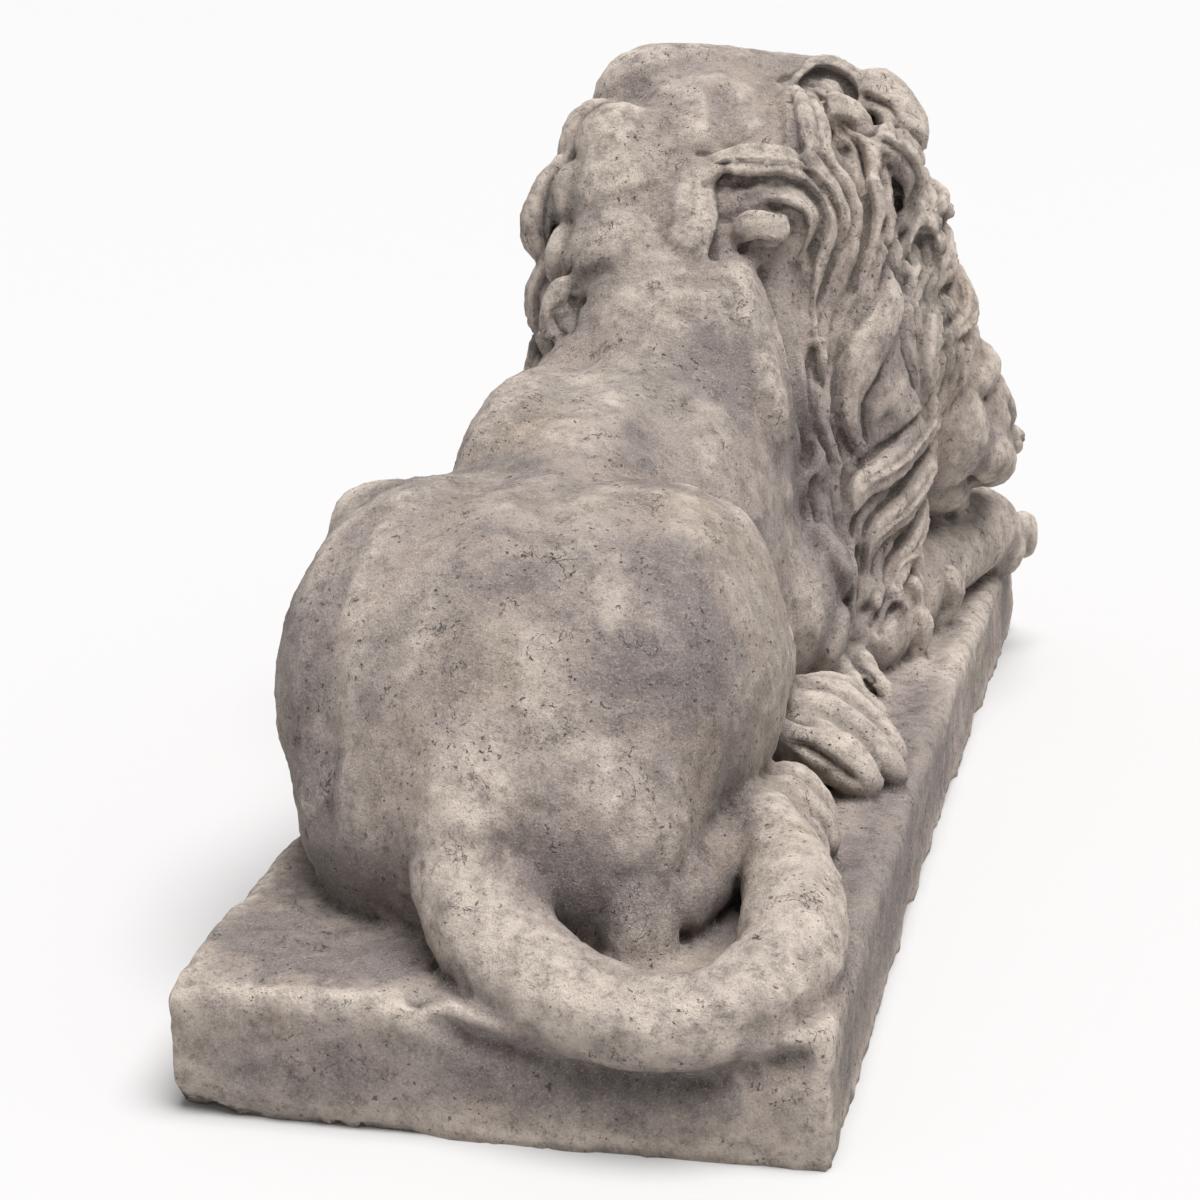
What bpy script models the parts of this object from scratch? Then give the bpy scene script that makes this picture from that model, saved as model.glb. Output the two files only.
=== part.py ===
"""A lying lion on a rectangular plinth, cast in one block of stone, seen best from behind.

Metres, +Z up. The lion faces -Y and its own right side is -X. The origin is the middle of the
plinth's underside. The figure is modelled in its own measure: FIGURE_UNITS of them make its
height over the plinth, and a place in that measure is (left, back, up) from the plinth's top.
"""

import math
import random

import bmesh
import bpy
import numpy as np
from mathutils import Matrix, Vector
from mathutils.bvhtree import BVHTree

PLINTH_WIDTH = 0.420
PLINTH_LENGTH = 1.142
PLINTH_HEIGHT = 0.088
PLINTH_ASIDE = 0.0047
PLINTH_FLARE = 0.0205
PLINTH_WORN_CORNER = 0.006
PLINTH_ROUND = 0.010
PLINTH_BASE_ROUND = 0.005
PLINTH_ROWS = 7
LION_HEIGHT = 0.520
FIGURE_UNITS = 520
UNIT = LION_HEIGHT / FIGURE_UNITS
SEED = 7
COMBED_LOCKS = 190

MASS_VOXEL = 9 * UNIT
BULK_VOXEL = 7 * UNIT
FACE_VOXEL = 4.6 * UNIT
CARVED_VOXEL = 4.4 * UNIT
MASS_SWELL = 4
BULK_SWELL = 1
FACE_SWELL = 1.5
HAIR_LIFT = 0.4
FACE_SHARE = 0.1
CARVED_SHARE = 0.45
MOST_TRIANGLES = 9180

HEAD_CENTRE = (-93, -296, 222)
HEAD_TURN = math.radians(46)
HEAD_BOW = math.radians(24)

STONE_COLOUR = (0.50, 0.43, 0.36, 1.0)
STONE_ROUGHNESS = 0.9


def place(left, back, up):
    """A point of the figure, from its own measure to metres over the plinth."""
    return Vector((left * UNIT, back * UNIT, PLINTH_HEIGHT + up * UNIT))


def head_place(left, front, up):
    """A point of the head, from the head's own left, front and up, to metres."""
    return place(*HEAD_CENTRE) + head_turn() @ (Vector((left, -front, up)) * UNIT)


def head_turn():
    """The turn that takes a head that looks along -Y to the lion's own right and down."""
    return Matrix.Rotation(-HEAD_TURN, 3, "Z") @ Matrix.Rotation(HEAD_BOW, 3, "X")


def along(points, share):
    """The point at this share of a smooth curve through the points."""
    spans = len(points) - 1
    at = min(max(share, 0.0), 1.0) * spans
    first = min(int(at), spans - 1)
    t = at - first
    b, c = points[first], points[first + 1]
    a = points[first - 1] if first else b + (b - c)
    d = points[first + 2] if first + 2 <= spans else c + (c - b)
    square = (2 * a - 5 * b + 4 * c - d) * t**2
    return 0.5 * (2 * b + (c - a) * t + square + (3 * b - a - 3 * c + d) * t**3)


def number_along(values, share):
    """The value at this share of a row of evenly spaced values."""
    return float(np.interp(share * (len(values) - 1), range(len(values)), values))


def ball(clay, centre, radii, turn=None):
    """Adds an ellipsoid to the clay. Its centre is in metres, its radii in the figure's measure."""
    size = Matrix.Diagonal(Vector(radii) * UNIT).to_4x4()
    turned = turn.to_4x4() if turn else Matrix.Identity(4)
    where = Matrix.Translation(centre) @ turned @ size
    form = bmesh.new()
    bmesh.ops.create_uvsphere(form, u_segments=28, v_segments=18, radius=1, matrix=where)
    press_on(clay, form)


def press_on(clay, form):
    """Adds one form to the clay. It is made by itself, because operators slow down on a big mesh."""
    piece = bpy.data.meshes.new("piece")
    form.to_mesh(piece)
    form.free()
    clay.from_mesh(piece)
    bpy.data.meshes.remove(piece)


def sweep(clay, points, widths, depths, outward, round_share=0.12, strands=0, around=18, rings=16):
    """Adds a closed limb or lock to the clay.

    It is a ball whose rings are moved along the curve. widths and depths are half sizes at even
    shares of its length, in the figure's measure. outward is the side that its depth points to,
    at each share. round_share is how much of each end is rounded off, and strands is the number
    of ridges along the outer side.
    """
    form = bmesh.new()
    bmesh.ops.create_uvsphere(form, u_segments=around, v_segments=rings, radius=1)
    frames = []
    for ring in range(rings + 1):
        share = ring / rings
        middle = along(points, share)
        ahead = (along(points, share + 0.02) - along(points, share - 0.02)).normalized()
        side = ahead.cross(outward(share)).normalized()
        up = side.cross(ahead)
        edge = min(share, 1 - share) / round_share
        closing = math.sqrt(max(0.0, 1 - (1 - min(edge, 1.0)) ** 2))
        width = number_along(widths, share) * closing * UNIT
        depth = number_along(depths, share) * closing * UNIT
        frames.append((middle, side * width, up * depth))
    for vert in form.verts:
        x, y, z = vert.co
        ring = round(math.acos(max(-1.0, min(1.0, z))) / math.pi * rings)
        middle, side, up = frames[ring]
        angle = math.atan2(y, x)
        lift = math.sin(angle)
        if strands and lift > 0:
            lift *= 1 + 0.3 * math.cos(math.pi * strands * math.cos(angle))
        vert.co = middle + side * math.cos(angle) + up * lift
    press_on(clay, form)


def limb(clay, points, widths, depths=None, outward=(0, 0, 1), **options):
    """Adds a limb through places of the figure, with one outward side for all of it."""
    side = Vector(outward)
    sweep(clay, [place(*p) for p in points], widths, depths or widths, lambda share: side, **options)


def head_limb(clay, points, widths, depths=None, outward=(0, 1, 0), **options):
    """Adds the same limb to both sides of the head. outward is (left, front, up) of the head."""
    for side in (1, -1):
        facing = head_turn() @ Vector((side * outward[0], -outward[1], outward[2]))
        spots = [head_place(side * left, front, up) for left, front, up in points]
        sweep(clay, spots, widths, depths or widths, lambda share: facing, **options)


def pelvis_and_back(clay):
    """The rolled pelvis with both haunches and the tail's root, the loin and the rib cage."""
    for centre, radii in (
        ((52, 285, 105), (120, 175, 138)),
        ((116, 258, 108), (104, 172, 134)),
        ((-22, 268, 118), (106, 172, 126)),
        ((146, 210, 190), (46, 56, 36)),
        ((-64, 222, 190), (42, 60, 38)),
        ((62, 385, 55), (114, 90, 94)),
        ((-30, 392, 60), (68, 74, 72)),
        ((-30, 430, 44), (66, 50, 78)),
        ((92, 55, 204), (55, 135, 79)),
        ((48, 110, 128), (100, 160, 140)),
        ((60, 176, 152), (86, 128, 98)),
        ((150, 105, 66), (66, 110, 72)),
        ((-52, 130, 78), (60, 90, 80)),
        ((22, 0, 126), (108, 205, 160)),
        ((0, -60, 78), (122, 120, 94)),
        ((82, -60, 222), (50, 94, 64)),
        ((-44, -70, 232), (42, 84, 66)),
    ):
        ball(clay, place(*centre), radii)
    limb(clay, [(46, 372, 170), (40, 418, 118), (32, 452, 76), (24, 482, 44)], [34, 46, 50, 46])


def neck_and_mane_bulk(clay):
    """The neck and the smooth bulk under the mane's locks."""
    for centre, radii in (
        ((14, -120, 215), (112, 145, 160)),
        ((8, -205, 348), (130, 120, 138)),
        ((-58, -232, 225), (112, 122, 195)),
        ((15, -300, 165), (136, 122, 190)),
        ((-60, -286, 396), (76, 80, 84)),
    ):
        ball(clay, place(*centre), radii)
    ball(clay, head_place(14, -46, 92), (94, 84, 92), head_turn())
    ball(clay, head_place(6, 0, 16), (104, 92, 108), head_turn())


def bones_and_crest(clay):
    """What stands out of the soft masses: spine, hip bones, the mane's top roll and its lobed cape."""
    for lobe in (
        ((40, -150, 462), (72, -128, 440), (98, -130, 412)),
        ((36, -104, 424), (72, -100, 404), (102, -116, 380)),
        ((34, -78, 384), (70, -74, 358), (104, -104, 334)),
        ((20, -74, 384), (26, -46, 352), (40, -22, 322)),
    ):
        limb(clay, lobe, [26, 34, 30], [16, 24, 22], outward=(0.5, 0.8, 0.5), round_share=0.4)
    limb(clay, [(0, -108, 424), (-8, -86, 392), (4, -62, 362)], [22, 28, 24], [10, 16, 14],
         outward=(-0.2, 0.9, 0.4), round_share=0.4)
    limb(clay, [(30, 440, 120), (45, 320, 226), (45, 180, 236), (40, 60, 262), (5, -60, 318)],
         [18, 24, 22, 22, 24], [12, 14, 14, 14, 16])
    limb(clay, [(176, 272, 168), (174, 232, 208), (142, 204, 212), (90, 176, 214)], [20, 29, 23, 14],
         [20, 26, 22, 12], round_share=0.3)
    limb(clay, [(-88, 252, 168), (-78, 218, 198), (-48, 190, 214), (-10, 178, 226)], [14, 20, 20, 14],
         [14, 20, 18, 12], round_share=0.3)
    limb(clay, [(104, -196, 453), (56, -224, 462), (-20, -255, 453), (-78, -278, 442), (-100, -292, 420)],
         [46, 48, 48, 48, 42], round_share=0.3)


def forelegs(clay):
    """The right foreleg runs to the plinth's corner, and the left one lies across the front."""
    ball(clay, place(-72, -170, 125), (66, 84, 108))
    ball(clay, place(98, -165, 120), (70, 96, 112))
    limb(clay, [(-118, -95, 32), (-140, -220, 34), (-166, -340, 40), (-192, -440, 44), (-200, -500, 38)],
         [42, 40, 38, 42, 42], [42, 40, 37, 38, 34], round_share=0.08)
    limb(clay, [(138, -95, 36), (140, -250, 36), (112, -380, 34), (20, -458, 32), (-80, -478, 28)],
         [44, 42, 40, 36, 38], [42, 38, 35, 32, 30])


def paws(clay):
    """Both forepaws."""
    paw(clay, (-200, -474, 20), (-0.1, -1.0, -0.15), 43, 40)
    paw(clay, (-78, -484, 18), (-1.0, -0.4, 0.0), 44, 36)


def paw(clay, heel, heading, width, height):
    """A paw of four toes that fan out from the heel along the heading."""
    ahead = Vector(heading).normalized()
    side = Vector((0, 0, 1)).cross(ahead).normalized()
    heel = Vector(heel)
    ball(clay, place(*(heel + ahead * width * 0.3)), (width, width, height * 0.86))
    for toe in range(4):
        across = side * (toe - 1.5) * width * 0.54
        reach = width * (1.42 - 0.14 * abs(toe - 1.5))
        root = heel + across * 0.8 + ahead * width * 0.2 + Vector((0, 0, height * 0.4))
        knuckle = heel + across + ahead * reach * 0.74 + Vector((0, 0, height * 0.36))
        tip = heel + across * 1.04 + ahead * reach - Vector((0, 0, height * 0.36))
        limb(clay, [tuple(root), tuple(knuckle), tuple(tip)],
             [width * 0.22, width * 0.31, width * 0.28], [height * 0.34, height * 0.46, height * 0.34],
             round_share=0.35)


def hind_feet(clay):
    """Both hind feet come out on the lion's right, the left one from under the belly."""
    limb(clay, [(-44, 424, 84), (-60, 454, 50), (-69, 468, 18), (-71, 472, -10)], [16, 19, 24, 24],
         [16, 17, 21, 22])
    limb(clay, [(-78, 462, 20), (-98, 400, 26), (-116, 330, 30), (-124, 296, 32)], [26, 23, 32, 30],
         [28, 28, 28, 24])
    for back, reach, height in ((330, 62, 20), (302, 64, 25), (272, 56, 24)):
        limb(clay, [(-100, back + 6, height + 6), (-134, back, height + 10), (-106 - reach, back - 6, 4)],
             [18, 24, 18], [18, 25, 18], round_share=0.35)
    limb(clay, [(-20, 76, 26), (-82, 96, 32), (-128, 118, 26)], [50, 50, 52], [36, 34, 28])
    for back, reach, height in ((66, 66, 24), (98, 80, 30), (132, 86, 28), (160, 68, 18)):
        limb(clay, [(-92, 58 + (back - 58) * 0.7, height + 12), (-140, back - 2, height + 12),
                    (-118 - reach, back + 18, 6)],
             [17, 20, 15], [18, 22, 15], round_share=0.3)


def tail(clay):
    """The tail drops from the rump, rounds the rear right corner and tucks in at the hind toes."""
    limb(clay, [(38, 430, 90), (32, 472, 52), (12, 512, 22), (-32, 544, 4), (-86, 557, -6),
                (-136, 551, -2), (-164, 516, 10), (-167, 464, 20), (-154, 405, 30), (-129, 350, 40),
                (-104, 305, 46), (-92, 282, 48)],
         [40, 44, 39, 34, 31, 31, 33, 34, 31, 25, 17, 10], round_share=0.05, rings=44)


def face_masses(clay):
    """The skull, muzzle, cheeks, brows and chin."""
    turned = head_turn()
    ahead = turned @ Vector((0, -0.7, 0.7))
    ball(clay, head_place(0, 50, 42), (76, 66, 58), turned)
    bridge = [head_place(0, front, up) for front, up in ((52, 84), (104, 58), (152, 33), (194, 5))]
    sweep(clay, bridge, [54, 42, 38, 33], [18, 15, 14, 13], lambda share: ahead, round_share=0.25)
    ball(clay, head_place(0, 132, -20), (56, 70, 42), turned)
    ball(clay, head_place(0, 152, -72), (27, 28, 19), turned)
    ball(clay, head_place(0, 106, -64), (54, 62, 34), turned)
    for side in (1, -1):
        ball(clay, head_place(side * 24, 164, -29), (31, 32, 25), turned)
        ball(clay, head_place(side * 31, 128, 4), (26, 42, 27), turned)
        ball(clay, head_place(side * 43, 128, -26), (30, 46, 29), turned)
        ball(clay, head_place(side * 62, 68, -26), (38, 54, 48), turned)
        ball(clay, head_place(side * 44, 80, -8), (32, 40, 24), turned)
    head_limb(clay, [(44, 124, -6), (66, 100, -8), (88, 58, 0)], [12, 17, 16], [12, 17, 16])
    head_limb(clay, [(12, 117, 57), (42, 111, 45), (70, 82, 26)], [16, 17, 13], [16, 17, 14])


def face(clay):
    """The lion's face: its masses melted softly together, then the nose, the eyes and their lids."""
    soft = bmesh.new()
    face_masses(soft)
    clay.from_mesh(fused(soft, FACE_VOXEL, 5, FACE_SWELL))
    turned = head_turn()
    ball(clay, head_place(0, 202, -3), (27, 14, 16), turned)
    for side in (1, -1):
        ball(clay, head_place(side * 46, 104, 24), (16, 15, 13), turned)
    head_limb(clay, [(26, 119, 21), (46, 123, 33), (68, 96, 22)], [5, 6.5, 4.5], [6, 8, 5])
    head_limb(clay, [(26, 119, 16), (46, 120, 12), (68, 96, 18)], [4.5, 5.5, 4], [5, 6.5, 5])


def bulk():
    """The smooth form under the hair, as a mesh: the soft masses, then the bones and the crest."""
    soft = bmesh.new()
    pelvis_and_back(soft)
    neck_and_mane_bulk(soft)
    forelegs(soft)
    firm = bmesh.new()
    firm.from_mesh(fused(soft, MASS_VOXEL, 16, MASS_SWELL))
    bones_and_crest(firm)
    return fused(firm, BULK_VOXEL, 12, BULK_SWELL)


def fused(clay, voxel, smoothing, swell=0):
    """Melts the clay's overlapping pieces into one skin, as a mesh. Then the skin is smoothed, and moved
    out again by swell, in the figure's measure."""
    mesh = bpy.data.meshes.new("clay")
    clay.to_mesh(mesh)
    clay.free()
    lump = bpy.data.objects.new("clay", mesh)
    bpy.context.scene.collection.objects.link(lump)
    melt = lump.modifiers.new("Melt", "REMESH")
    melt.mode = "VOXEL"
    melt.voxel_size = voxel
    soften = lump.modifiers.new("Soften", "SMOOTH")
    soften.factor = 0.5
    soften.iterations = smoothing
    grow = lump.modifiers.new("Swell", "DISPLACE")
    grow.mid_level = 0
    grow.strength = swell * UNIT
    graph = bpy.context.evaluated_depsgraph_get()
    skin = bpy.data.meshes.new_from_object(lump.evaluated_get(graph))
    bpy.data.objects.remove(lump)
    return skin


def combed(surface, start, length, sway, waves, lift):
    """Points of a lock that is combed over the surface from a start, with a wave in it."""
    steps = 8
    stride = length * UNIT / steps
    spot = start
    points = []
    for step in range(steps + 1):
        spot, normal, _, _ = surface.find_nearest(spot)
        points.append((spot + normal * lift * UNIT, normal))
        away = spot - head_place(0, 60, 70)
        fall = away.normalized() * 0.6 + Vector((0, 0, -1)) * min(1.4, away.length / (170 * UNIT))
        flow = (fall - normal * fall.dot(normal)).normalized()
        swing = sway * math.cos(math.tau * waves * step / steps)
        spot = spot + (flow + normal.cross(flow) * swing).normalized() * stride
    return points


def lock(clay, points, width, depth, strands=2):
    """Adds one lock of hair along points that each have the skin's own outward side."""
    normals = [normal for _, normal in points]
    sweep(clay, [spot for spot, _ in points],
          [width * 0.55, width, width, width * 0.9, width * 0.62, width * 0.22],
          [depth * 0.6, depth, depth * 1.1, depth, depth * 0.8, depth * 0.4],
          lambda share: along(normals, share), round_share=0.08, strands=strands)


HERO_LOCKS = {
    "nape flap": (22, 9, 1, (
        (-3, -103, 416), (-10, -86, 389), (-2, -66, 366), (12, -58, 358))),
    "nape curl, outer": (17, 16, 3, (
        (-6, -99, 413), (-39, -113, 419), (-78, -131, 409), (-98, -136, 376), (-88, -121, 336),
        (-84, -106, 284))),
    "nape curl, middle": (13, 14, 2, (
        (-24, -97, 392), (-62, -116, 398), (-84, -122, 380), (-78, -112, 346))),
    "nape curl, inner": (11, 14, 1, (
        (-26, -90, 366), (-47, -99, 378), (-62, -104, 370), (-62, -100, 352))),
    "crest wave": (17, 16, 3, (
        (-41, -230, 494), (-70, -180, 453), (-82, -141, 416), (-105, -147, 380), (-104, -139, 334),
        (-91, -121, 294), (-88, -96, 250))),
    "long bright wave": (19, 18, 3, (
        (-91, -203, 439), (-112, -200, 420), (-120, -182, 394), (-127, -175, 363),
        (-118, -145, 309), (-100, -122, 270))),
    "leaf": (27, 21, 1, (
        (-130, -172, 335), (-131, -155, 300), (-118, -134, 262), (-108, -122, 228),
        (-122, -132, 180))),
    "ear rim": (9, 12, 1, (
        (-55, -221, 470), (-72, -246, 484), (-100, -252, 474), (-109, -240, 452), (-92, -218, 444),
        (-66, -210, 456))),
    "lobe over the hollow": (20, 16, 1, (
        (-82, -190, 456), (-104, -208, 442), (-116, -210, 416))),
    "knob": (13, 14, 1, (
        (-120, -215, 403), (-141, -232, 393), (-141, -230, 372))),
    "side tuft": (15, 14, 2, (
        (-126, -190, 438), (-146, -206, 422), (-157, -214, 398), (-150, -216, 376))),
    "temple curl": (14, 17, 2, (
        (-138, -198, 335), (-144, -222, 360), (-158, -244, 358), (-166, -254, 335),
        (-160, -246, 306))),
    "cheek strand, rear": (11, 14, 2, (
        (-139, -180, 318), (-149, -178, 277), (-155, -180, 246), (-164, -200, 204))),
    "cheek strand, middle": (11, 14, 2, (
        (-157, -212, 305), (-168, -228, 266), (-173, -232, 235), (-168, -215, 205))),
    "cheek strand, front": (11, 14, 2, (
        (-172, -252, 300), (-184, -264, 262), (-182, -258, 226), (-174, -240, 198))),
    "jaw tuft, upper": (22, 19, 3, (
        (-170, -226, 208), (-144, -165, 180), (-120, -120, 160), (-110, -104, 130))),
    "jaw tuft, middle": (21, 19, 3, (
        (-172, -228, 170), (-146, -176, 138), (-128, -130, 120), (-124, -122, 84))),
    "jaw tuft, lower": (20, 18, 3, (
        (-164, -232, 128), (-148, -190, 92), (-144, -150, 68), (-140, -116, 40))),
    "edge strand": (12, 12, 2, (
        (-88, -100, 262), (-92, -90, 223), (-104, -104, 185), (-108, -104, 150))),
    "chest strand, rear": (15, 9, 2, (
        (-94, -84, 176), (-104, -76, 136), (-112, -74, 96), (-116, -76, 60))),
    "chest strand, front": (16, 10, 2, (
        (-104, -104, 150), (-112, -98, 112), (-120, -96, 76), (-126, -96, 44))),
    "elbow tuft, upper": (16, 11, 3, (
        (-98, -132, 34), (-118, -112, 26), (-142, -82, 18), (-164, -50, 8))),
    "elbow tuft, lower": (15, 11, 2, (
        (-88, -110, 34), (-104, -84, 26), (-124, -60, 16), (-142, -36, 6))),
    "forelock": (17, 14, 2, (
        (-98, -286, 462), (-117, -300, 426), (-133, -312, 392), (-144, -318, 356))),
    "brow lock": (15, 13, 2, (
        (-144, -296, 372), (-158, -308, 336), (-168, -320, 296), (-176, -330, 256))),
    "left tuft, top": (17, 17, 2, (
        (80, -188, 458), (96, -160, 436), (96, -140, 406))),
    "left tuft, almond": (19, 18, 1, (
        (84, -134, 420), (104, -128, 402), (122, -124, 368), (114, -122, 340))),
    "left tuft, low": (17, 17, 2, (
        (98, -110, 350), (115, -112, 325), (119, -108, 292), (108, -86, 262))),
    "left hollow rim": (10, 12, 1, (
        (82, -63, 330), (104, -76, 316), (102, -56, 298), (82, -33, 300))),
}


def hero_locks(surface, clay):
    """The locks that show from behind, each with its half width, half depth, strands and places."""
    for width, depth, strands, places in HERO_LOCKS.values():
        points = []
        for spot in map(lambda where: place(*where), places):
            _, normal, _, _ = surface.find_nearest(spot)
            points.append((spot + normal * depth * HAIR_LIFT * UNIT, normal))
        lock(clay, points, width, depth, strands)


def mane_locks(surface, clay):
    """Rows of combed locks over the mane, left out over the smooth nape and the face."""
    dice = random.Random(SEED)
    golden = math.pi * (3 - math.sqrt(5))
    centre = place(-20, -240, 250)
    for number in range(COMBED_LOCKS):
        height = 1 - 2 * (number + 0.5) / COMBED_LOCKS
        ring = math.sqrt(1 - height**2)
        angle = number * golden
        away = Vector((ring * math.cos(angle), ring * math.sin(angle), height))
        hit, normal, _, _ = surface.ray_cast(centre + away * 600 * UNIT, -away)
        if not hit or not hair_grows(hit, normal):
            continue
        length = dice.uniform(85, 140)
        sway = dice.choice((-1, 1)) * dice.uniform(0.5, 0.9)
        width = dice.uniform(14, 20)
        waves = dice.uniform(0.6, 0.9)
        points = combed(surface, hit, length, sway, waves, width * HAIR_LIFT)
        lock(clay, points, width, width * 0.85)


def hair_grows(spot, normal):
    """Whether a lock starts here: not on the face, the smooth nape, the body or the legs."""
    local = head_turn().inverted() @ (spot - place(*HEAD_CENTRE)) / UNIT
    if -local.y > 30 and abs(local.x) < 105 and local.z < 100:
        return False
    left, back, up = (spot - place(0, 0, 0)) / UNIT
    if up < 60 or back > -95:
        return False
    on_nape = normal.y > 0.15 and -80 < left < 110
    on_crest = up > 440 and back > -290
    among_hero_locks = left < -60 and back > -235
    return not (on_nape or on_crest or among_hero_locks)


def lion():
    """The whole figure as one skin."""
    form = bulk()
    surface = BVHTree.FromPolygons([v.co for v in form.vertices], [p.vertices for p in form.polygons])
    clay = bmesh.new()
    clay.from_mesh(form)
    hero_locks(surface, clay)
    mane_locks(surface, clay)
    face(clay)
    paws(clay)
    hind_feet(clay)
    tail(clay)
    return fused(clay, CARVED_VOXEL, 2)


def stone():
    """Warm grey cast stone."""
    material = bpy.data.materials.new("stone")
    material.use_nodes = True
    shader = material.node_tree.nodes["Principled BSDF"]
    shader.inputs["Base Color"].default_value = STONE_COLOUR
    shader.inputs["Roughness"].default_value = STONE_ROUGHNESS
    shader.inputs["Metallic"].default_value = 0.0
    material.diffuse_color = STONE_COLOUR
    return material


def plinth():
    """The plinth, as a helper that the figure is joined to. Its top edges are worn round, and its right
    side runs out towards the front."""
    block = bmesh.new()
    size = Matrix.Diagonal((PLINTH_WIDTH, PLINTH_LENGTH, PLINTH_HEIGHT, 1))
    middle = Matrix.Translation((PLINTH_ASIDE, 0, PLINTH_HEIGHT / 2))
    bmesh.ops.create_cube(block, size=1, matrix=middle @ size)
    sharp = block.edges[:]
    lengthwise = [edge for edge in sharp if abs(edge.verts[0].co.y - edge.verts[1].co.y) > PLINTH_WIDTH]
    bmesh.ops.subdivide_edges(block, edges=lengthwise, cuts=PLINTH_ROWS, use_grid_fill=True)
    for corner in block.verts:
        if corner.co.x < 0:
            corner.co.x -= PLINTH_FLARE * (0.5 - corner.co.y / PLINTH_LENGTH) ** 2
        elif corner.co.y > 0.49 * PLINTH_LENGTH:
            corner.co.x -= PLINTH_WORN_CORNER
    for upper, radius in ((True, PLINTH_ROUND), (False, PLINTH_BASE_ROUND)):
        worn = [edge for edge in block.edges if edge.calc_face_angle() > math.radians(45)
                and (min(vert.co.z for vert in edge.verts) > PLINTH_HEIGHT / 2) == upper]
        bmesh.ops.bevel(block, geom=worn, offset=radius, segments=3, profile=0.5, affect="EDGES",
                        material=-1)
    mesh = bpy.data.meshes.new("plinth")
    block.to_mesh(mesh)
    block.free()
    made = bpy.data.objects.new("plinth", mesh)
    bpy.context.scene.collection.objects.link(made)
    made.hide_render = True
    made.display_type = "WIRE"
    return made


def keep_detail(statue):
    """Marks how plain each place is, so that facets are spent on the face, mane and feet."""
    plain = statue.vertex_groups.new(name="plain")
    turned = head_turn().inverted()
    for vert in statue.data.vertices:
        local = turned @ (vert.co - place(*HEAD_CENTRE)) / UNIT
        left, back, up = (vert.co - place(0, 0, 0)) / UNIT
        on_face = -local.y > 60 and abs(local.x) < 80 and -100 < local.z < 70
        on_feet = up < 60 and (back < -430 or (left < -90 and 30 < back < 350))
        carved = CARVED_SHARE if back < -60 or on_feet else 1.0
        plain.add([vert.index], FACE_SHARE if on_face else carved, "REPLACE")


def main():
    for item in list(bpy.data.objects):
        bpy.data.objects.remove(item)
    skin = lion()
    statue = bpy.data.objects.new("lying_lion_statue", skin)
    bpy.context.scene.collection.objects.link(statue)
    statue.data.materials.append(stone())
    keep_detail(statue)
    thin = statue.modifiers.new("Thin", "DECIMATE")
    thin.vertex_group = "plain"
    thin.ratio = MOST_TRIANGLES / (2 * len(skin.polygons))
    join = statue.modifiers.new("Join", "BOOLEAN")
    join.operation = "UNION"
    join.object = plinth()
    statue.data.shade_smooth()


main()
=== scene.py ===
"""A lying lion on a rectangular plinth, cast in one block of reconstituted stone.

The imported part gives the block's size and place. This script models the same figure again with
its finer carving, wear and pores, and dresses it in weathered cast stone, in a plain pale studio.
The lion faces -Y, its own right side is -X and +Z is up, in metres. The figure's own measure has
520 units from the plinth's top to the crest of the mane, and a place in it is (left, back, up).
Sizes and places of the figure are in that measure wherever metres aren't named.
"""

import logging
import math
import random
from collections.abc import Callable, Sequence
from dataclasses import dataclass, field
from enum import Enum

import bmesh
import bpy
import numpy as np
from mathutils import Matrix, Vector, noise
from mathutils.bvhtree import BVHTree
from mathutils.kdtree import KDTree


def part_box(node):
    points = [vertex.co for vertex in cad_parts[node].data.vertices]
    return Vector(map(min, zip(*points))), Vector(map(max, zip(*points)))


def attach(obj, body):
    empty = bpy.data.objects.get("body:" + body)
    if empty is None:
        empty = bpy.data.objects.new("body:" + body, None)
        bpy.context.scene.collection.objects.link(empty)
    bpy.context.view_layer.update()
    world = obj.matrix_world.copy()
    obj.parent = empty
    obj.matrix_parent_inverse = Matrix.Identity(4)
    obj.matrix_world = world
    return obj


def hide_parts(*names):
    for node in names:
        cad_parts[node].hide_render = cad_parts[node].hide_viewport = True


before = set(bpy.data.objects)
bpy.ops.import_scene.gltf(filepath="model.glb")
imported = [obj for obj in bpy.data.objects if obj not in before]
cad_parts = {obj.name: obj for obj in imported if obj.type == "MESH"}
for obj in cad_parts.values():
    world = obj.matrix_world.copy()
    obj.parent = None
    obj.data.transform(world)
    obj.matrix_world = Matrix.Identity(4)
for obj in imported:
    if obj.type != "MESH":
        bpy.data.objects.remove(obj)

LOG = logging.getLogger("lying_lion")
NODE = "lying_lion_statue"
IMAGE_SIDE = 1200

Place = tuple[float, float, float]
Row = Sequence[float]
Strand = Sequence[tuple[Vector, Vector]]
Tree = bpy.types.NodeTree
Socket = bpy.types.NodeSocket


class Grade(Enum):
    """How finely the stone is worked: the voxel in figure units and the most triangles."""

    ROUGH = (4.4, 60000)
    FINE = (2.7, 192000)


@dataclass(frozen=True)
class Measure:
    """The figure's own measure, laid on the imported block.

    Attributes:
        unit: One unit of the figure, in metres.
        floor: The height of the plinth's top, in metres.
    """

    unit: float = 0.001
    floor: float = 0.088

    def place(self, left: float, back: float, up: float) -> Vector:
        """Returns a point of the figure in metres."""
        return Vector((left * self.unit, back * self.unit, self.floor + up * self.unit))

    def path(self, places: Sequence[Place]) -> list[Vector]:
        """Returns points of the figure in metres."""
        return [self.place(*where) for where in places]

    def units(self, spot: Vector) -> Vector:
        """Returns a point in metres as (left, back, up) of the figure."""
        return (spot - Vector((0, 0, self.floor))) / self.unit


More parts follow.
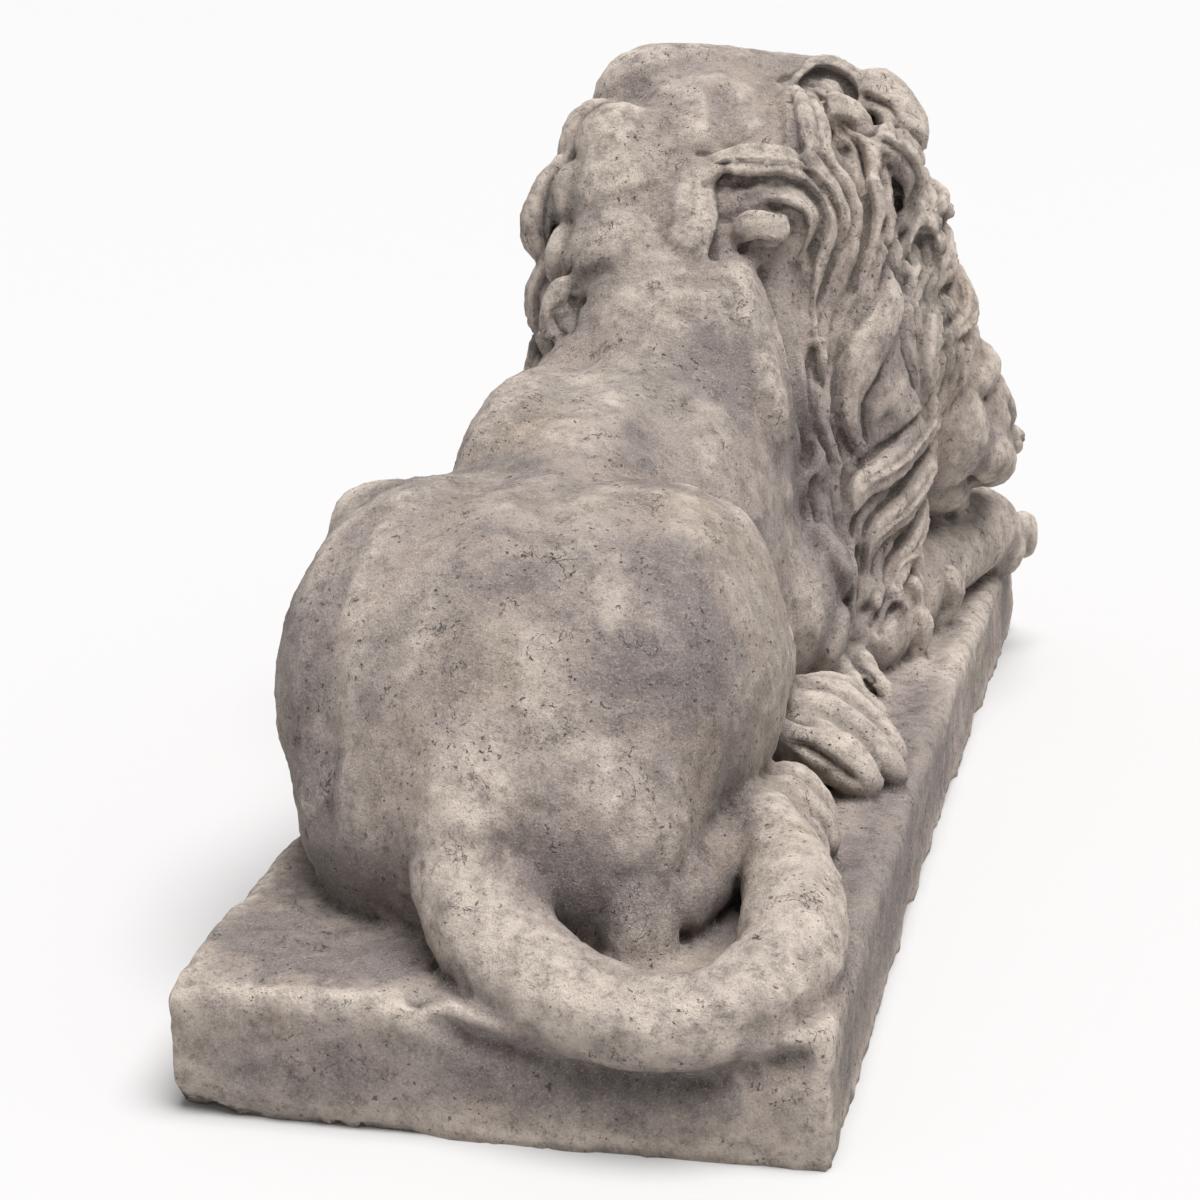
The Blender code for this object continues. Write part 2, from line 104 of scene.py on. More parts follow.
@dataclass(frozen=True)
class HeadPose:
    """Where the head is and how it is turned.

    Attributes:
        centre: The middle of the skull.
        turn: Degrees that it looks to the lion's own right.
        bow: Degrees that it looks down.
    """

    centre: Place = (-93, -296, 222)
    turn: float = 46
    bow: float = 24

    def matrix(self) -> Matrix:
        """Returns the turn that takes a head that looks along -Y to this pose."""
        sideways = Matrix.Rotation(-math.radians(self.turn), 3, "Z")
        return sideways @ Matrix.Rotation(math.radians(self.bow), 3, "X")


def along(points: Sequence[Vector], share: float) -> Vector:
    """Finds a point of a smooth curve through the points.

    Args:
        points: The points that the curve runs through, evenly shared.
        share: How far along the curve, from 0 to 1.

    Returns:
        The point of the curve.
    """
    spans = len(points) - 1
    at = min(max(share, 0.0), 1.0) * spans
    first = min(int(at), spans - 1)
    t = at - first
    b, c = points[first], points[first + 1]
    a = points[first - 1] if first else b + (b - c)
    d = points[first + 2] if first + 2 <= spans else c + (c - b)
    square = (2 * a - 5 * b + 4 * c - d) * t**2
    return 0.5 * (2 * b + (c - a) * t + square + (3 * b - a - 3 * c + d) * t**3)


@dataclass
class Clay:
    """Closed forms that overlap, and are melted into one skin at the end.

    Attributes:
        measure: The figure's measure.
        head: The pose of the head.
        mesh: What has been pressed together so far.
    """

    measure: Measure
    head: HeadPose
    mesh: bmesh.types.BMesh = field(default_factory=bmesh.new)

    def press_on(self, form: bmesh.types.BMesh) -> None:
        """Adds one closed form and frees it. It is made by itself, which keeps the operators quick."""
        piece = bpy.data.meshes.new("piece")
        form.to_mesh(piece)
        form.free()
        self.mesh.from_mesh(piece)
        bpy.data.meshes.remove(piece)

    def head_place(self, left: float, front: float, up: float) -> Vector:
        """Returns a point of the head, from the head's own left, front and up, in metres."""
        away = self.head.matrix() @ (Vector((left, -front, up)) * self.measure.unit)
        return self.measure.place(*self.head.centre) + away

    def ball(self, centre: Vector, radii: Place, turn: Matrix | None = None) -> None:
        """Adds an ellipsoid.

        Args:
            centre: Its middle in metres.
            radii: Its half sizes.
            turn: How it is turned, or none.
        """
        size = Matrix.Diagonal(Vector(radii) * self.measure.unit).to_4x4()
        turned = turn.to_4x4() if turn else Matrix.Identity(4)
        where = Matrix.Translation(centre) @ turned @ size
        form = bmesh.new()
        bmesh.ops.create_uvsphere(form, u_segments=40, v_segments=26, radius=1, matrix=where)
        self.press_on(form)

    def sweep(self, points: Sequence[Vector], widths: Row, depths: Row,
              outward: Callable[[float], Vector], round_share: float = 0.12,
              around: int = 28, rings: int = 24) -> None:
        """Adds a closed limb or lock: a ball whose rings are moved along a curve.

        Args:
            points: The curve's points in metres.
            widths: Half widths at even shares of the length.
            depths: Half depths at even shares of the length.
            outward: The side that the depth points to, at a share of the length.
            round_share: How much of each end is rounded off.
            around: Points around each ring.
            rings: Rings along the length.
        """
        form = bmesh.new()
        bmesh.ops.create_uvsphere(form, u_segments=around, v_segments=rings, radius=1)
        frames = []
        for ring in range(rings + 1):
            share = ring / rings
            ahead = (along(points, share + 0.02) - along(points, share - 0.02)).normalized()
            side = ahead.cross(outward(share)).normalized()
            up = side.cross(ahead)
            edge = min(1.0, min(share, 1 - share) / round_share)
            closing = math.sqrt(max(0.0, 1 - (1 - edge) ** 2)) * self.measure.unit
            width = number_along(widths, share) * closing
            depth = number_along(depths, share) * closing
            frames.append((along(points, share), side * width, up * depth))
        for vert in form.verts:
            x, y, z = vert.co
            ring = round(math.acos(max(-1.0, min(1.0, z))) / math.pi * rings)
            middle, side, up = frames[ring]
            angle = math.atan2(y, x)
            vert.co = middle + side * math.cos(angle) + up * math.sin(angle)
        self.press_on(form)

    def limb(self, points: Sequence[Place], widths: Row, depths: Row | None = None,
             outward: Place = (0, 0, 1), round_share: float = 0.12, rings: int = 24) -> None:
        """Adds a limb through places of the figure, with one outward side for all of it."""
        side = Vector(outward)
        path = self.measure.path(points)
        self.sweep(path, widths, depths or widths, lambda share: side, round_share, rings=rings)

    def head_limb(self, points: Sequence[Place], widths: Row, depths: Row | None = None,
                  outward: Place = (0, 1, 0), round_share: float = 0.2) -> None:
        """Adds the same limb to both sides of the head, in the head's left, front and up."""
        for side in (1, -1):
            facing = self.head.matrix() @ Vector((side * outward[0], -outward[1], outward[2]))
            spots = [self.head_place(side * left, front, up) for left, front, up in points]
            self.sweep(spots, widths, depths or widths, lambda share, out=facing: out, round_share)

    def fused(self, voxel: float, smoothing: int, swell: float = 0) -> bpy.types.Mesh:
        """Melts the forms into one skin and frees them.

        Args:
            voxel: The size of the grid that they are melted on.
            smoothing: How many times the skin is smoothed.
            swell: How far the skin is moved out again after it.

        Returns:
            The skin as a mesh.
        """
        mesh = bpy.data.meshes.new("clay")
        self.mesh.to_mesh(mesh)
        self.mesh.free()
        lump = bpy.data.objects.new("clay", mesh)
        melt = lump.modifiers.new("Melt", "REMESH")
        melt.mode = "VOXEL"
        melt.voxel_size = voxel * self.measure.unit
        soften = lump.modifiers.new("Soften", "SMOOTH")
        soften.factor = 0.5
        soften.iterations = smoothing
        if swell:
            grow = lump.modifiers.new("Swell", "DISPLACE")
            grow.mid_level = 0
            grow.strength = swell * self.measure.unit
        return evaluated(lump)


def evaluated(lump: bpy.types.Object) -> bpy.types.Mesh:
    """Applies an object's modifiers to a new mesh, and removes the object."""
    bpy.context.scene.collection.objects.link(lump)
    graph = bpy.context.evaluated_depsgraph_get()
    skin = bpy.data.meshes.new_from_object(lump.evaluated_get(graph))
    bpy.data.objects.remove(lump)
    return skin


def number_along(values: Row, share: float) -> float:
    """Returns the value at this share of a row of evenly spaced values."""
    return float(np.interp(share * (len(values) - 1), range(len(values)), values))


@dataclass
class Plinth:
    """The plinth, whose right side runs out towards the front and whose edges are worn round.

    Attributes:
        width: Its size along X at the rear, in metres.
        length: Its size along Y in metres.
        height: Its height in metres.
        aside: How far its middle lies to the lion's left of the origin, in metres.
        flare: How much further its right side stands out at the front, in metres.
        worn_corner: How much of its rear left corner is gone, in metres.
        rounding: How much the top edges are worn, in metres.
        base_rounding: How much the bottom edges are worn, in metres.
        rows: How many cuts cross its length.
    """

    width: float = 0.420
    length: float = 1.142
    height: float = 0.088
    aside: float = 0.0047
    flare: float = 0.0205
    worn_corner: float = 0.006
    rounding: float = 0.010
    base_rounding: float = 0.005
    rows: int = 7

    def shape(self, clay: Clay) -> None:
        """Adds the block to the clay."""
        block = bmesh.new()
        size = Matrix.Diagonal((self.width, self.length, self.height, 1))
        middle = Matrix.Translation((self.aside, 0, self.height / 2))
        bmesh.ops.create_cube(block, size=1, matrix=middle @ size)
        lengthwise = [edge for edge in block.edges
                      if abs(edge.verts[0].co.y - edge.verts[1].co.y) > self.width]
        bmesh.ops.subdivide_edges(block, edges=lengthwise, cuts=self.rows, use_grid_fill=True)
        for corner in block.verts:
            if corner.co.x < 0:
                corner.co.x -= self.flare * (0.5 - corner.co.y / self.length) ** 2
            elif corner.co.y > 0.49 * self.length:
                corner.co.x -= self.worn_corner
        for upper, radius in ((True, self.rounding), (False, self.base_rounding)):
            worn = [edge for edge in block.edges if edge.calc_face_angle() > math.radians(45)
                    and (min(vert.co.z for vert in edge.verts) > self.height / 2) == upper]
            bmesh.ops.bevel(block, geom=worn, offset=radius, segments=4, profile=0.5,
                            affect="EDGES", material=-1)
        clay.press_on(block)


@dataclass
class Trunk:
    """The rolled pelvis, the loin, the rib cage, the neck and the bulk of the mane."""

    def shape(self, clay: Clay) -> None:
        """Adds the large soft masses to the clay."""
        self.pelvis_and_back(clay)
        self.neck_and_mane_bulk(clay)

    def pelvis_and_back(self, clay: Clay) -> None:
        """Adds the haunches, the tail's root, the loin, the rib cage and the shoulder blades."""
        place = clay.measure.place
        for centre, radii in (
            ((52, 285, 105), (120, 175, 138)),
            ((116, 258, 108), (104, 172, 134)),
            ((-22, 268, 118), (106, 172, 126)),
            ((146, 210, 190), (46, 56, 36)),
            ((-64, 222, 190), (42, 60, 38)),
            ((62, 385, 55), (114, 90, 94)),
            ((-30, 392, 60), (68, 74, 72)),
            ((-30, 430, 44), (66, 50, 78)),
            ((92, 55, 204), (55, 135, 79)),
            ((48, 110, 128), (100, 160, 140)),
            ((60, 176, 152), (86, 128, 98)),
            ((150, 105, 66), (66, 110, 72)),
            ((-52, 130, 78), (60, 90, 80)),
            ((22, 0, 126), (108, 205, 160)),
            ((0, -60, 78), (122, 120, 94)),
            ((82, -60, 222), (50, 94, 64)),
            ((-44, -70, 232), (42, 84, 66)),
        ):
            clay.ball(place(*centre), radii)
        clay.limb([(46, 372, 170), (40, 418, 118), (32, 452, 76), (24, 482, 44)], [34, 46, 50, 46])

    def neck_and_mane_bulk(self, clay: Clay) -> None:
        """Adds the neck and the smooth bulk under the mane's locks."""
        place = clay.measure.place
        turned = clay.head.matrix()
        for centre, radii in (
            ((14, -120, 215), (112, 145, 160)),
            ((8, -205, 348), (130, 120, 138)),
            ((-58, -232, 225), (112, 122, 195)),
            ((15, -300, 165), (136, 122, 190)),
            ((-60, -286, 396), (76, 80, 84)),
        ):
            clay.ball(place(*centre), radii)
        clay.ball(clay.head_place(14, -46, 92), (94, 84, 92), turned)
        clay.ball(clay.head_place(6, 0, 16), (104, 92, 108), turned)

    def bones_and_crest(self, clay: Clay) -> None:
        """Adds what stands out of the masses: spine, hip bones, the mane's top roll and cape."""
        for lobe in (((40, -150, 462), (72, -128, 440), (98, -130, 412)),
                     ((36, -104, 424), (72, -100, 404), (102, -116, 380)),
                     ((34, -78, 384), (70, -74, 358), (104, -104, 334))):
            clay.limb(lobe, [26, 34, 30], [16, 24, 22], outward=(0.5, 0.8, 0.5), round_share=0.4)
        clay.limb([(0, -108, 424), (-8, -86, 392), (4, -62, 362)], [22, 28, 24], [10, 16, 14],
                  outward=(-0.2, 0.9, 0.4), round_share=0.4)
        clay.limb([(30, 440, 120), (45, 320, 226), (45, 180, 236), (40, 60, 262), (5, -60, 318)],
                  [18, 24, 22, 22, 24], [12, 14, 14, 14, 16])
        clay.limb([(176, 272, 168), (174, 232, 208), (142, 204, 212), (90, 176, 214)],
                  [20, 29, 23, 14], [20, 26, 22, 12], round_share=0.3)
        clay.limb([(-88, 252, 168), (-78, 218, 198), (-48, 190, 214), (-10, 178, 226)],
                  [14, 20, 20, 14], [14, 20, 18, 12], round_share=0.3)
        clay.limb([(104, -196, 453), (56, -224, 462), (-20, -255, 453), (-78, -278, 442),
                   (-100, -292, 420)], [46, 48, 48, 48, 42], round_share=0.3)


@dataclass
class Limbs:
    """The forelegs, the hind feet and the tail."""

    def shape_forelegs(self, clay: Clay) -> None:
        """Adds the forelegs: the right one runs to the corner, the left one lies across the front."""
        place = clay.measure.place
        clay.ball(place(-72, -170, 125), (66, 84, 108))
        clay.ball(place(98, -165, 120), (70, 96, 112))
        clay.limb([(-118, -95, 32), (-140, -220, 34), (-166, -340, 40), (-192, -440, 44), (-200, -500, 38)],
                  [42, 40, 38, 42, 42], [42, 40, 37, 38, 34], round_share=0.08)
        clay.limb([(138, -95, 36), (140, -250, 36), (112, -380, 34), (20, -458, 32), (-80, -478, 28)],
                  [44, 42, 40, 36, 38], [42, 38, 35, 32, 30])

    def shape_paws(self, clay: Clay) -> None:
        """Adds the two forepaws."""
        self.paw(clay, (-200, -474, 20), (-0.1, -1.0, -0.15), 43, 40)
        self.paw(clay, (-78, -484, 18), (-1.0, -0.4, 0.0), 44, 36)

    def paw(self, clay: Clay, heel: Place, heading: Place, width: float, height: float) -> None:
        """Adds a paw of four toes that fan out from the heel.

        Args:
            clay: What it is added to.
            heel: Its rear middle.
            heading: The way that it points.
            width: Its half width.
            height: Its half height.
        """
        ahead = Vector(heading).normalized()
        side = Vector((0, 0, 1)).cross(ahead).normalized()
        rear = Vector(heel)
        middle = rear + ahead * width * 0.3
        clay.ball(clay.measure.place(*middle), (width, width, height * 0.86))
        for toe in range(4):
            across = side * (toe - 1.5) * width * 0.54
            reach = width * (1.42 - 0.14 * abs(toe - 1.5))
            root = rear + across * 0.8 + ahead * width * 0.2 + Vector((0, 0, height * 0.4))
            knuckle = rear + across + ahead * reach * 0.74 + Vector((0, 0, height * 0.36))
            tip = rear + across * 1.04 + ahead * reach - Vector((0, 0, height * 0.36))
            clay.limb([tuple(root), tuple(knuckle), tuple(tip)],
                      [width * 0.22, width * 0.31, width * 0.28],
                      [height * 0.34, height * 0.46, height * 0.34], round_share=0.35)

    def shape_hind_feet(self, clay: Clay) -> None:
        """Adds both hind feet, which come out on the lion's right, the left one from under the belly."""
        clay.limb([(-44, 424, 84), (-60, 454, 50), (-69, 468, 18), (-71, 472, -10)],
                  [16, 19, 24, 24], [16, 17, 21, 22])
        clay.limb([(-78, 462, 20), (-98, 400, 26), (-116, 330, 30), (-124, 296, 32)],
                  [26, 23, 32, 30], [28, 28, 28, 24])
        for back, reach, height in ((330, 62, 20), (302, 64, 25), (272, 56, 24)):
            clay.limb([(-100, back + 6, height + 6), (-134, back, height + 10), (-106 - reach, back - 6, 4)],
                      [18, 24, 18], [18, 25, 18], round_share=0.35)
        clay.limb([(-20, 76, 26), (-82, 96, 32), (-128, 118, 26)], [50, 50, 52], [36, 34, 28])
        for back, reach, height in ((66, 66, 24), (98, 80, 30), (132, 86, 28), (160, 68, 18)):
            clay.limb([(-92, 58 + (back - 58) * 0.7, height + 12), (-140, back - 2, height + 12),
                       (-118 - reach, back + 18, 6)],
                      [17, 20, 15], [18, 22, 15], round_share=0.3)

    def shape_tail(self, clay: Clay) -> None:
        """Adds the tail, which rounds the rear right corner and tucks in at the hind toes."""
        clay.limb([(38, 430, 90), (32, 472, 52), (12, 512, 22), (-32, 544, 4), (-86, 557, -6),
                   (-136, 551, -2), (-164, 516, 10), (-167, 464, 20), (-154, 405, 30),
                   (-129, 350, 40), (-104, 305, 46), (-92, 282, 48)],
                  [40, 44, 39, 34, 31, 31, 33, 34, 31, 25, 17, 10], round_share=0.05, rings=60)


@dataclass
class Face:
    """The lion's muzzle, cheeks, brows, eyes, nose and chin."""

    def shape(self, clay: Clay) -> None:
        """Adds the face to the clay: its masses melted softly together, then its edges."""
        soft = Clay(clay.measure, clay.head)
        self.masses(soft)
        clay.mesh.from_mesh(soft.fused(4, 7, 1.5))
        self.edges(clay)

    def masses(self, clay: Clay) -> None:
        """Adds the skull, muzzle, cheeks and chin."""
        turned = clay.head.matrix()
        at = clay.head_place
        front = turned @ Vector((0, -0.7, 0.7))
        clay.ball(at(0, 50, 42), (76, 66, 58), turned)
        clay.sweep([at(0, 52, 84), at(0, 104, 58), at(0, 152, 33), at(0, 194, 5)], [54, 42, 38, 33],
                   [18, 15, 14, 13], lambda share: front, round_share=0.25)
        clay.ball(at(0, 132, -20), (56, 70, 42), turned)
        clay.ball(at(0, 152, -72), (27, 28, 19), turned)
        clay.ball(at(0, 106, -64), (54, 62, 34), turned)
        for side in (1, -1):
            clay.ball(at(side * 24, 164, -29), (31, 32, 25), turned)
            clay.ball(at(side * 31, 128, 4), (26, 42, 27), turned)
            clay.ball(at(side * 43, 128, -26), (30, 46, 29), turned)
            clay.ball(at(side * 62, 68, -26), (38, 54, 48), turned)
            clay.ball(at(side * 44, 80, -8), (32, 40, 24), turned)
        clay.head_limb([(44, 124, -6), (66, 100, -8), (88, 58, 0)], [12, 17, 16], [12, 17, 16])
        clay.head_limb([(12, 117, 57), (42, 111, 45), (70, 82, 26)], [16, 17, 13], [16, 17, 14])

    def edges(self, clay: Clay) -> None:
        """Adds the nose, the eyes and their lids."""
        turned = clay.head.matrix()
        at = clay.head_place
        clay.ball(at(0, 202, -3), (27, 14, 16), turned)
        for side in (1, -1):
            clay.ball(at(side * 46, 104, 24), (16, 15, 13), turned)
        clay.head_limb([(26, 119, 21), (46, 123, 33), (68, 96, 22)], [5, 6.5, 4.5], [6, 8, 5])
        clay.head_limb([(26, 119, 16), (46, 120, 12), (68, 96, 18)], [4.5, 5.5, 4], [5, 6.5, 5])


@dataclass(frozen=True)
class Lock:
    """One lock of hair.

    Attributes:
        width: Its half width.
        depth: Its half depth.
        strands: The strands that it is made of.
        places: The places that it runs through, or none where it is combed.
        tip: How wide its tip is, as a share of its width.
        border: How deep the grooves at its sides are.
    """

    width: float
    depth: float
    strands: int
    places: tuple[Place, ...] = ()
    tip: float = 0.25
    border: float = 5.0


# The locks that show from behind, each from its root to its tip.
LOCKS: dict[str, Lock] = {
    "nape flap": Lock(24, 12, 1, ((0, -106, 420), (-7, -88, 392), (-3, -68, 366), (6, -60, 350)), 0.8, 0),
    "nape curl, outer": Lock(18, 17, 3, (
        (-6, -99, 413), (-39, -113, 419), (-78, -131, 409), (-98, -136, 376), (-88, -121, 336),
        (-84, -106, 284))),
    "nape curl, middle": Lock(13, 14, 2, (
        (-24, -97, 392), (-62, -116, 398), (-84, -122, 380), (-78, -112, 346))),
    "nape curl, inner": Lock(17, 12, 1, ((-28, -92, 368), (-48, -92, 376), (-74, -100, 368)), 0.8),
    "crest wave": Lock(18, 17, 2, (
        (-62, -200, 470), (-74, -166, 446), (-84, -141, 416), (-105, -147, 380), (-104, -139, 334),
        (-91, -121, 294), (-88, -96, 250))),
    "long bright wave": Lock(21, 19, 2, (
        (-91, -203, 439), (-112, -200, 420), (-120, -182, 394), (-127, -175, 363), (-118, -145, 309),
        (-100, -122, 270))),
    "leaf": Lock(27, 21, 1, (
        (-130, -172, 335), (-131, -155, 300), (-118, -134, 262), (-108, -122, 228), (-122, -132, 180))),
    "ear rim": Lock(11, 12, 1, (
        (-55, -221, 470), (-72, -246, 484), (-100, -252, 474), (-109, -240, 452), (-92, -218, 444),
        (-66, -210, 456)), 0.6),
    "ear filling": Lock(17, 9, 3, ((-70, -240, 470), (-84, -236, 466), (-98, -230, 452)), 0.7),
    "broad lobe": Lock(25, 18, 1, (
        (-104, -246, 474), (-130, -252, 456), (-146, -232, 436), (-148, -204, 416)), 0.8),
    "lobe over the hollow": Lock(20, 16, 1, ((-82, -190, 456), (-104, -208, 442), (-116, -210, 416)), 0.7),
    "knob": Lock(15, 15, 1, ((-120, -215, 403), (-141, -226, 393), (-141, -226, 372)), 0.8),
    "side tuft": Lock(15, 14, 2, (
        (-126, -190, 438), (-146, -206, 422), (-157, -214, 398), (-150, -216, 376)), 0.6),
    "temple curl": Lock(15, 17, 2, (
        (-138, -198, 335), (-144, -222, 360), (-158, -244, 358), (-166, -254, 335), (-160, -246, 306))),
    "cheek strand, rear": Lock(11, 14, 2, (
        (-139, -180, 318), (-149, -178, 277), (-155, -180, 246), (-164, -200, 204))),
    "cheek strand, middle": Lock(11, 14, 2, (
        (-157, -212, 305), (-168, -228, 266), (-173, -232, 235), (-168, -215, 205))),
    "cheek strand, front": Lock(11, 14, 2, (
        (-172, -252, 300), (-184, -264, 262), (-182, -258, 226), (-174, -240, 198))),
    "jaw tuft, upper": Lock(22, 19, 3, (
        (-170, -226, 208), (-144, -165, 180), (-120, -120, 160), (-110, -104, 130))),
    "jaw tuft, middle": Lock(21, 19, 3, (
        (-172, -228, 170), (-146, -176, 138), (-128, -130, 120), (-124, -122, 84))),
    "jaw tuft, lower": Lock(20, 18, 3, (
        (-164, -232, 128), (-148, -190, 92), (-144, -150, 68), (-140, -116, 40))),
    "edge strand": Lock(12, 12, 2, (
        (-88, -100, 262), (-92, -90, 223), (-104, -104, 185), (-108, -104, 150))),
    "chest strand, rear": Lock(15, 9, 2, (
        (-94, -84, 176), (-104, -76, 136), (-112, -74, 96), (-116, -76, 60))),
    "chest strand, front": Lock(16, 10, 2, (
        (-104, -104, 150), (-112, -98, 112), (-120, -96, 76), (-126, -96, 44))),
    "elbow tuft, upper": Lock(16, 11, 3, (
        (-98, -132, 34), (-118, -112, 26), (-142, -82, 18), (-164, -50, 8)), 0.5, 0),
    "elbow tuft, lower": Lock(15, 11, 2, (
        (-88, -110, 34), (-104, -84, 26), (-124, -60, 16), (-142, -36, 6)), 0.5, 0),
    "forelock": Lock(21, 15, 1, (
        (-98, -286, 462), (-117, -300, 426), (-133, -312, 392), (-144, -318, 356)), 0.6),
    "brow lock": Lock(18, 14, 1, (
        (-144, -296, 372), (-158, -308, 336), (-168, -320, 296), (-176, -330, 256)), 0.5),
    "left tuft, top": Lock(20, 18, 1, ((80, -188, 458), (98, -160, 436), (104, -138, 406)), 0.7),
    "left tuft, almond": Lock(23, 19, 1, (
        (88, -134, 420), (108, -126, 402), (126, -122, 368), (116, -120, 340)), 0.6),
    "left tuft, low": Lock(19, 17, 1, (
        (98, -110, 350), (117, -110, 325), (120, -108, 292), (108, -86, 262)), 0.6),
    "left leaf": Lock(17, 12, 1, ((84, -62, 334), (100, -64, 318), (105, -58, 300), (96, -46, 286)), 0.6),
}


@dataclass
class Mane:
    """The locks of the mane, over the smooth bulk.

    Attributes:
        seed: The seed of the combed locks.
        rows: How many long combed locks are tried.
        undergrowth: How many short ones are tried, under and between them.
        lined_from: The half width from which a combed lock has grooves.
        lines: The grooves beside the strands that were laid, each with its half width and depth.
        heroes: The locks that show from behind.
    """

    seed: int = 7
    rows: int = 190
    undergrowth: int = 800
    lined_from: float = 13
    lines: list[tuple[list[Vector], float, float]] = field(default_factory=list)
    heroes: dict[str, Lock] = field(default_factory=LOCKS.copy)

    def shape(self, clay: Clay, surface: BVHTree) -> None:
        """Adds the locks that show from behind, then rows of combed ones over and between them."""
        for hero in self.heroes.values():
            points = []
            for spot in clay.measure.path(hero.places):
                _, normal, _, _ = surface.find_nearest(spot)
                points.append((spot + normal * hero.depth * 0.4 * clay.measure.unit, normal))
            self.lay(clay, points, hero)
            self.note_lines(clay, points, hero)
        dice = random.Random(self.seed)
        self.comb(clay, surface, dice, self.rows, (85, 140), (14, 20), self.grows)
        self.comb(clay, surface, dice, self.undergrowth, (60, 100), (9, 13), self.fills)

    def beside(self, points: Strand, lock: Lock, aside: float, spread: float
               ) -> list[tuple[Vector, Vector, Vector]]:
        """Finds a path beside the middle of a lock, that draws in towards its tip.

        Args:
            points: The lock's points in metres, each with the skin's own outward side.
            lock: The lock.
            aside: How far to the side the path lies, from -1 to 1 at the edges.
            spread: How much of the width the edges take.

        Returns:
            Each point, its outward side and the way from it to the path.
        """
        spots = [spot for spot, _ in points]
        path = []
        for step, (spot, normal) in enumerate(points):
            share = step / (len(points) - 1)
            ahead = (along(spots, share + 0.05) - along(spots, share - 0.05)).normalized()
            gather = 1 - (1 - lock.tip) * share**2
            path.append((spot, normal, ahead.cross(normal) * aside * lock.width * spread * gather))
        return path

    def lay(self, clay: Clay, points: Strand, lock: Lock) -> None:
        """Adds one lock, as strands that lie side by side and draw together to its tip.

        Args:
            clay: What it is added to.
            points: Its points in metres, each with the skin's own outward side.
            lock: The lock.
        """
        normals = [normal for _, normal in points]
        overlap = 1.65
        thick = lock.width / lock.strands * overlap if lock.strands > 1 else lock.width
        depth, tip, unit = lock.depth, lock.tip, clay.measure.unit
        for strand in range(lock.strands):
            aside = (2 * strand + 1) / lock.strands - 1
            path = [spot + (across - normal * aside**2 * depth * 0.4) * unit
                    for spot, normal, across in self.beside(points, lock, aside, 0.75)]
            clay.sweep(path, [thick * 0.6, thick, thick, thick * 0.9, thick * (0.5 + tip / 2), thick * tip],
                       [depth * 0.6, depth, depth * 1.1, depth, depth * 0.8, depth * 0.4],
                       lambda share: along(normals, share), round_share=0.1, around=14, rings=20)

    def note_lines(self, clay: Clay, points: Strand, lock: Lock) -> None:
        """Notes a lock's grooves: fine ones between its strands, and a deeper one on each side.

        Args:
            clay: What knows the figure's measure.
            points: Its points in metres, each with the skin's own outward side.
            lock: The lock.
        """
        edges = [(aside, 6.0, lock.border) for aside in (-1.25, 1.25)]
        between = [(2 * strand / lock.strands - 1, 3.6, 2.2) for strand in range(1, lock.strands)]
        for aside, radius, deep in [*edges, *between, (-0.55, 2.8, 1.2), (0.3, 2.8, 1.2)]:
            path = [spot + (across + normal * lock.depth * (1 - aside**2 * 0.4)) * clay.measure.unit
                    for spot, normal, across in self.beside(points, lock, aside, 0.8)]
            self.lines.append((path, radius, deep))

    def cut_lines(self, carver: "Carver") -> None:
        """Cuts the noted grooves where their paths lie on the skin."""
        skin = carver.tree()
        reach = 14 * carver.measure.unit
        for path, radius, deep in self.lines:
            steps = 2 * len(path)
            hits = [skin.find_nearest(along(path, step / steps), reach)[0] for step in range(steps + 1)]
            touched = [hit for hit in hits if hit is not None]
            if len(touched) > 2:
                carver.stroke(touched, radius, deep)

    def comb(self, clay: Clay, surface: BVHTree, dice: random.Random, rows: int,
             lengths: tuple[float, float], widths: tuple[float, float],
             wanted: Callable[[Clay, Vector, Vector], bool]) -> None:
        """Adds combed locks from starts that are spread evenly round the mane.

        Args:
            clay: What they are added to.
            surface: The smooth bulk.
            dice: Where their differences come from.
            rows: How many starts are tried.
            lengths: The least and the most length.
            widths: The least and the most half width.
            wanted: Whether one starts at a place with an outward side.
        """
        golden = math.pi * (3 - math.sqrt(5))
        centre, far = clay.measure.place(-20, -240, 250), 600
        for number in range(rows):
            height = 1 - 2 * (number + 0.5) / rows
            ring = math.sqrt(1 - height**2)
            angle = number * golden
            away = Vector((ring * math.cos(angle), ring * math.sin(angle), height))
            hit, normal, _, _ = surface.ray_cast(centre + away * far * clay.measure.unit, -away)
            if not hit or not wanted(clay, hit, normal):
                continue
            length = dice.uniform(*lengths)
            sway = dice.choice((-1, 1)) * dice.uniform(0.5, 0.9)
            width = dice.uniform(*widths)
            waves = dice.uniform(0.6, 0.9)
            points = self.combed(clay, surface, hit, length, sway, waves, width * 0.35)
            lock = Lock(width, width * 0.85, 2, border=4.0)
            self.lay(clay, points, lock)
            if width > self.lined_from:
                self.note_lines(clay, points, lock)

    def combed(self, clay: Clay, surface: BVHTree, start: Vector, length: float, sway: float,
               waves: float, lift: float) -> list[tuple[Vector, Vector]]:
        """Combs a lock over the surface.

        Args:
            clay: What it is added to later.
            surface: The smooth bulk.
            start: Where it grows, in metres.
            length: How long it is.
            sway: How far it swings from side to side.
            waves: How many waves it has.
            lift: How far it stands over the surface.

        Returns:
            Its points, each with the skin's outward side.
        """
        steps = 8
        unit = clay.measure.unit
        stride = length * unit / steps
        spot = start
        points = []
        for step in range(steps + 1):
            spot, normal, _, _ = surface.find_nearest(spot)
            points.append((spot + normal * lift * unit, normal))
            away = spot - clay.head_place(0, 60, 70)
            fall = away.normalized() * 0.6 + Vector((0, 0, -1)) * min(1.4, away.length / (170 * unit))
            flow = (fall - normal * fall.dot(normal)).normalized()
            swing = sway * math.cos(math.tau * waves * step / steps)
            spot = spot + (flow + normal.cross(flow) * swing).normalized() * stride
        return points

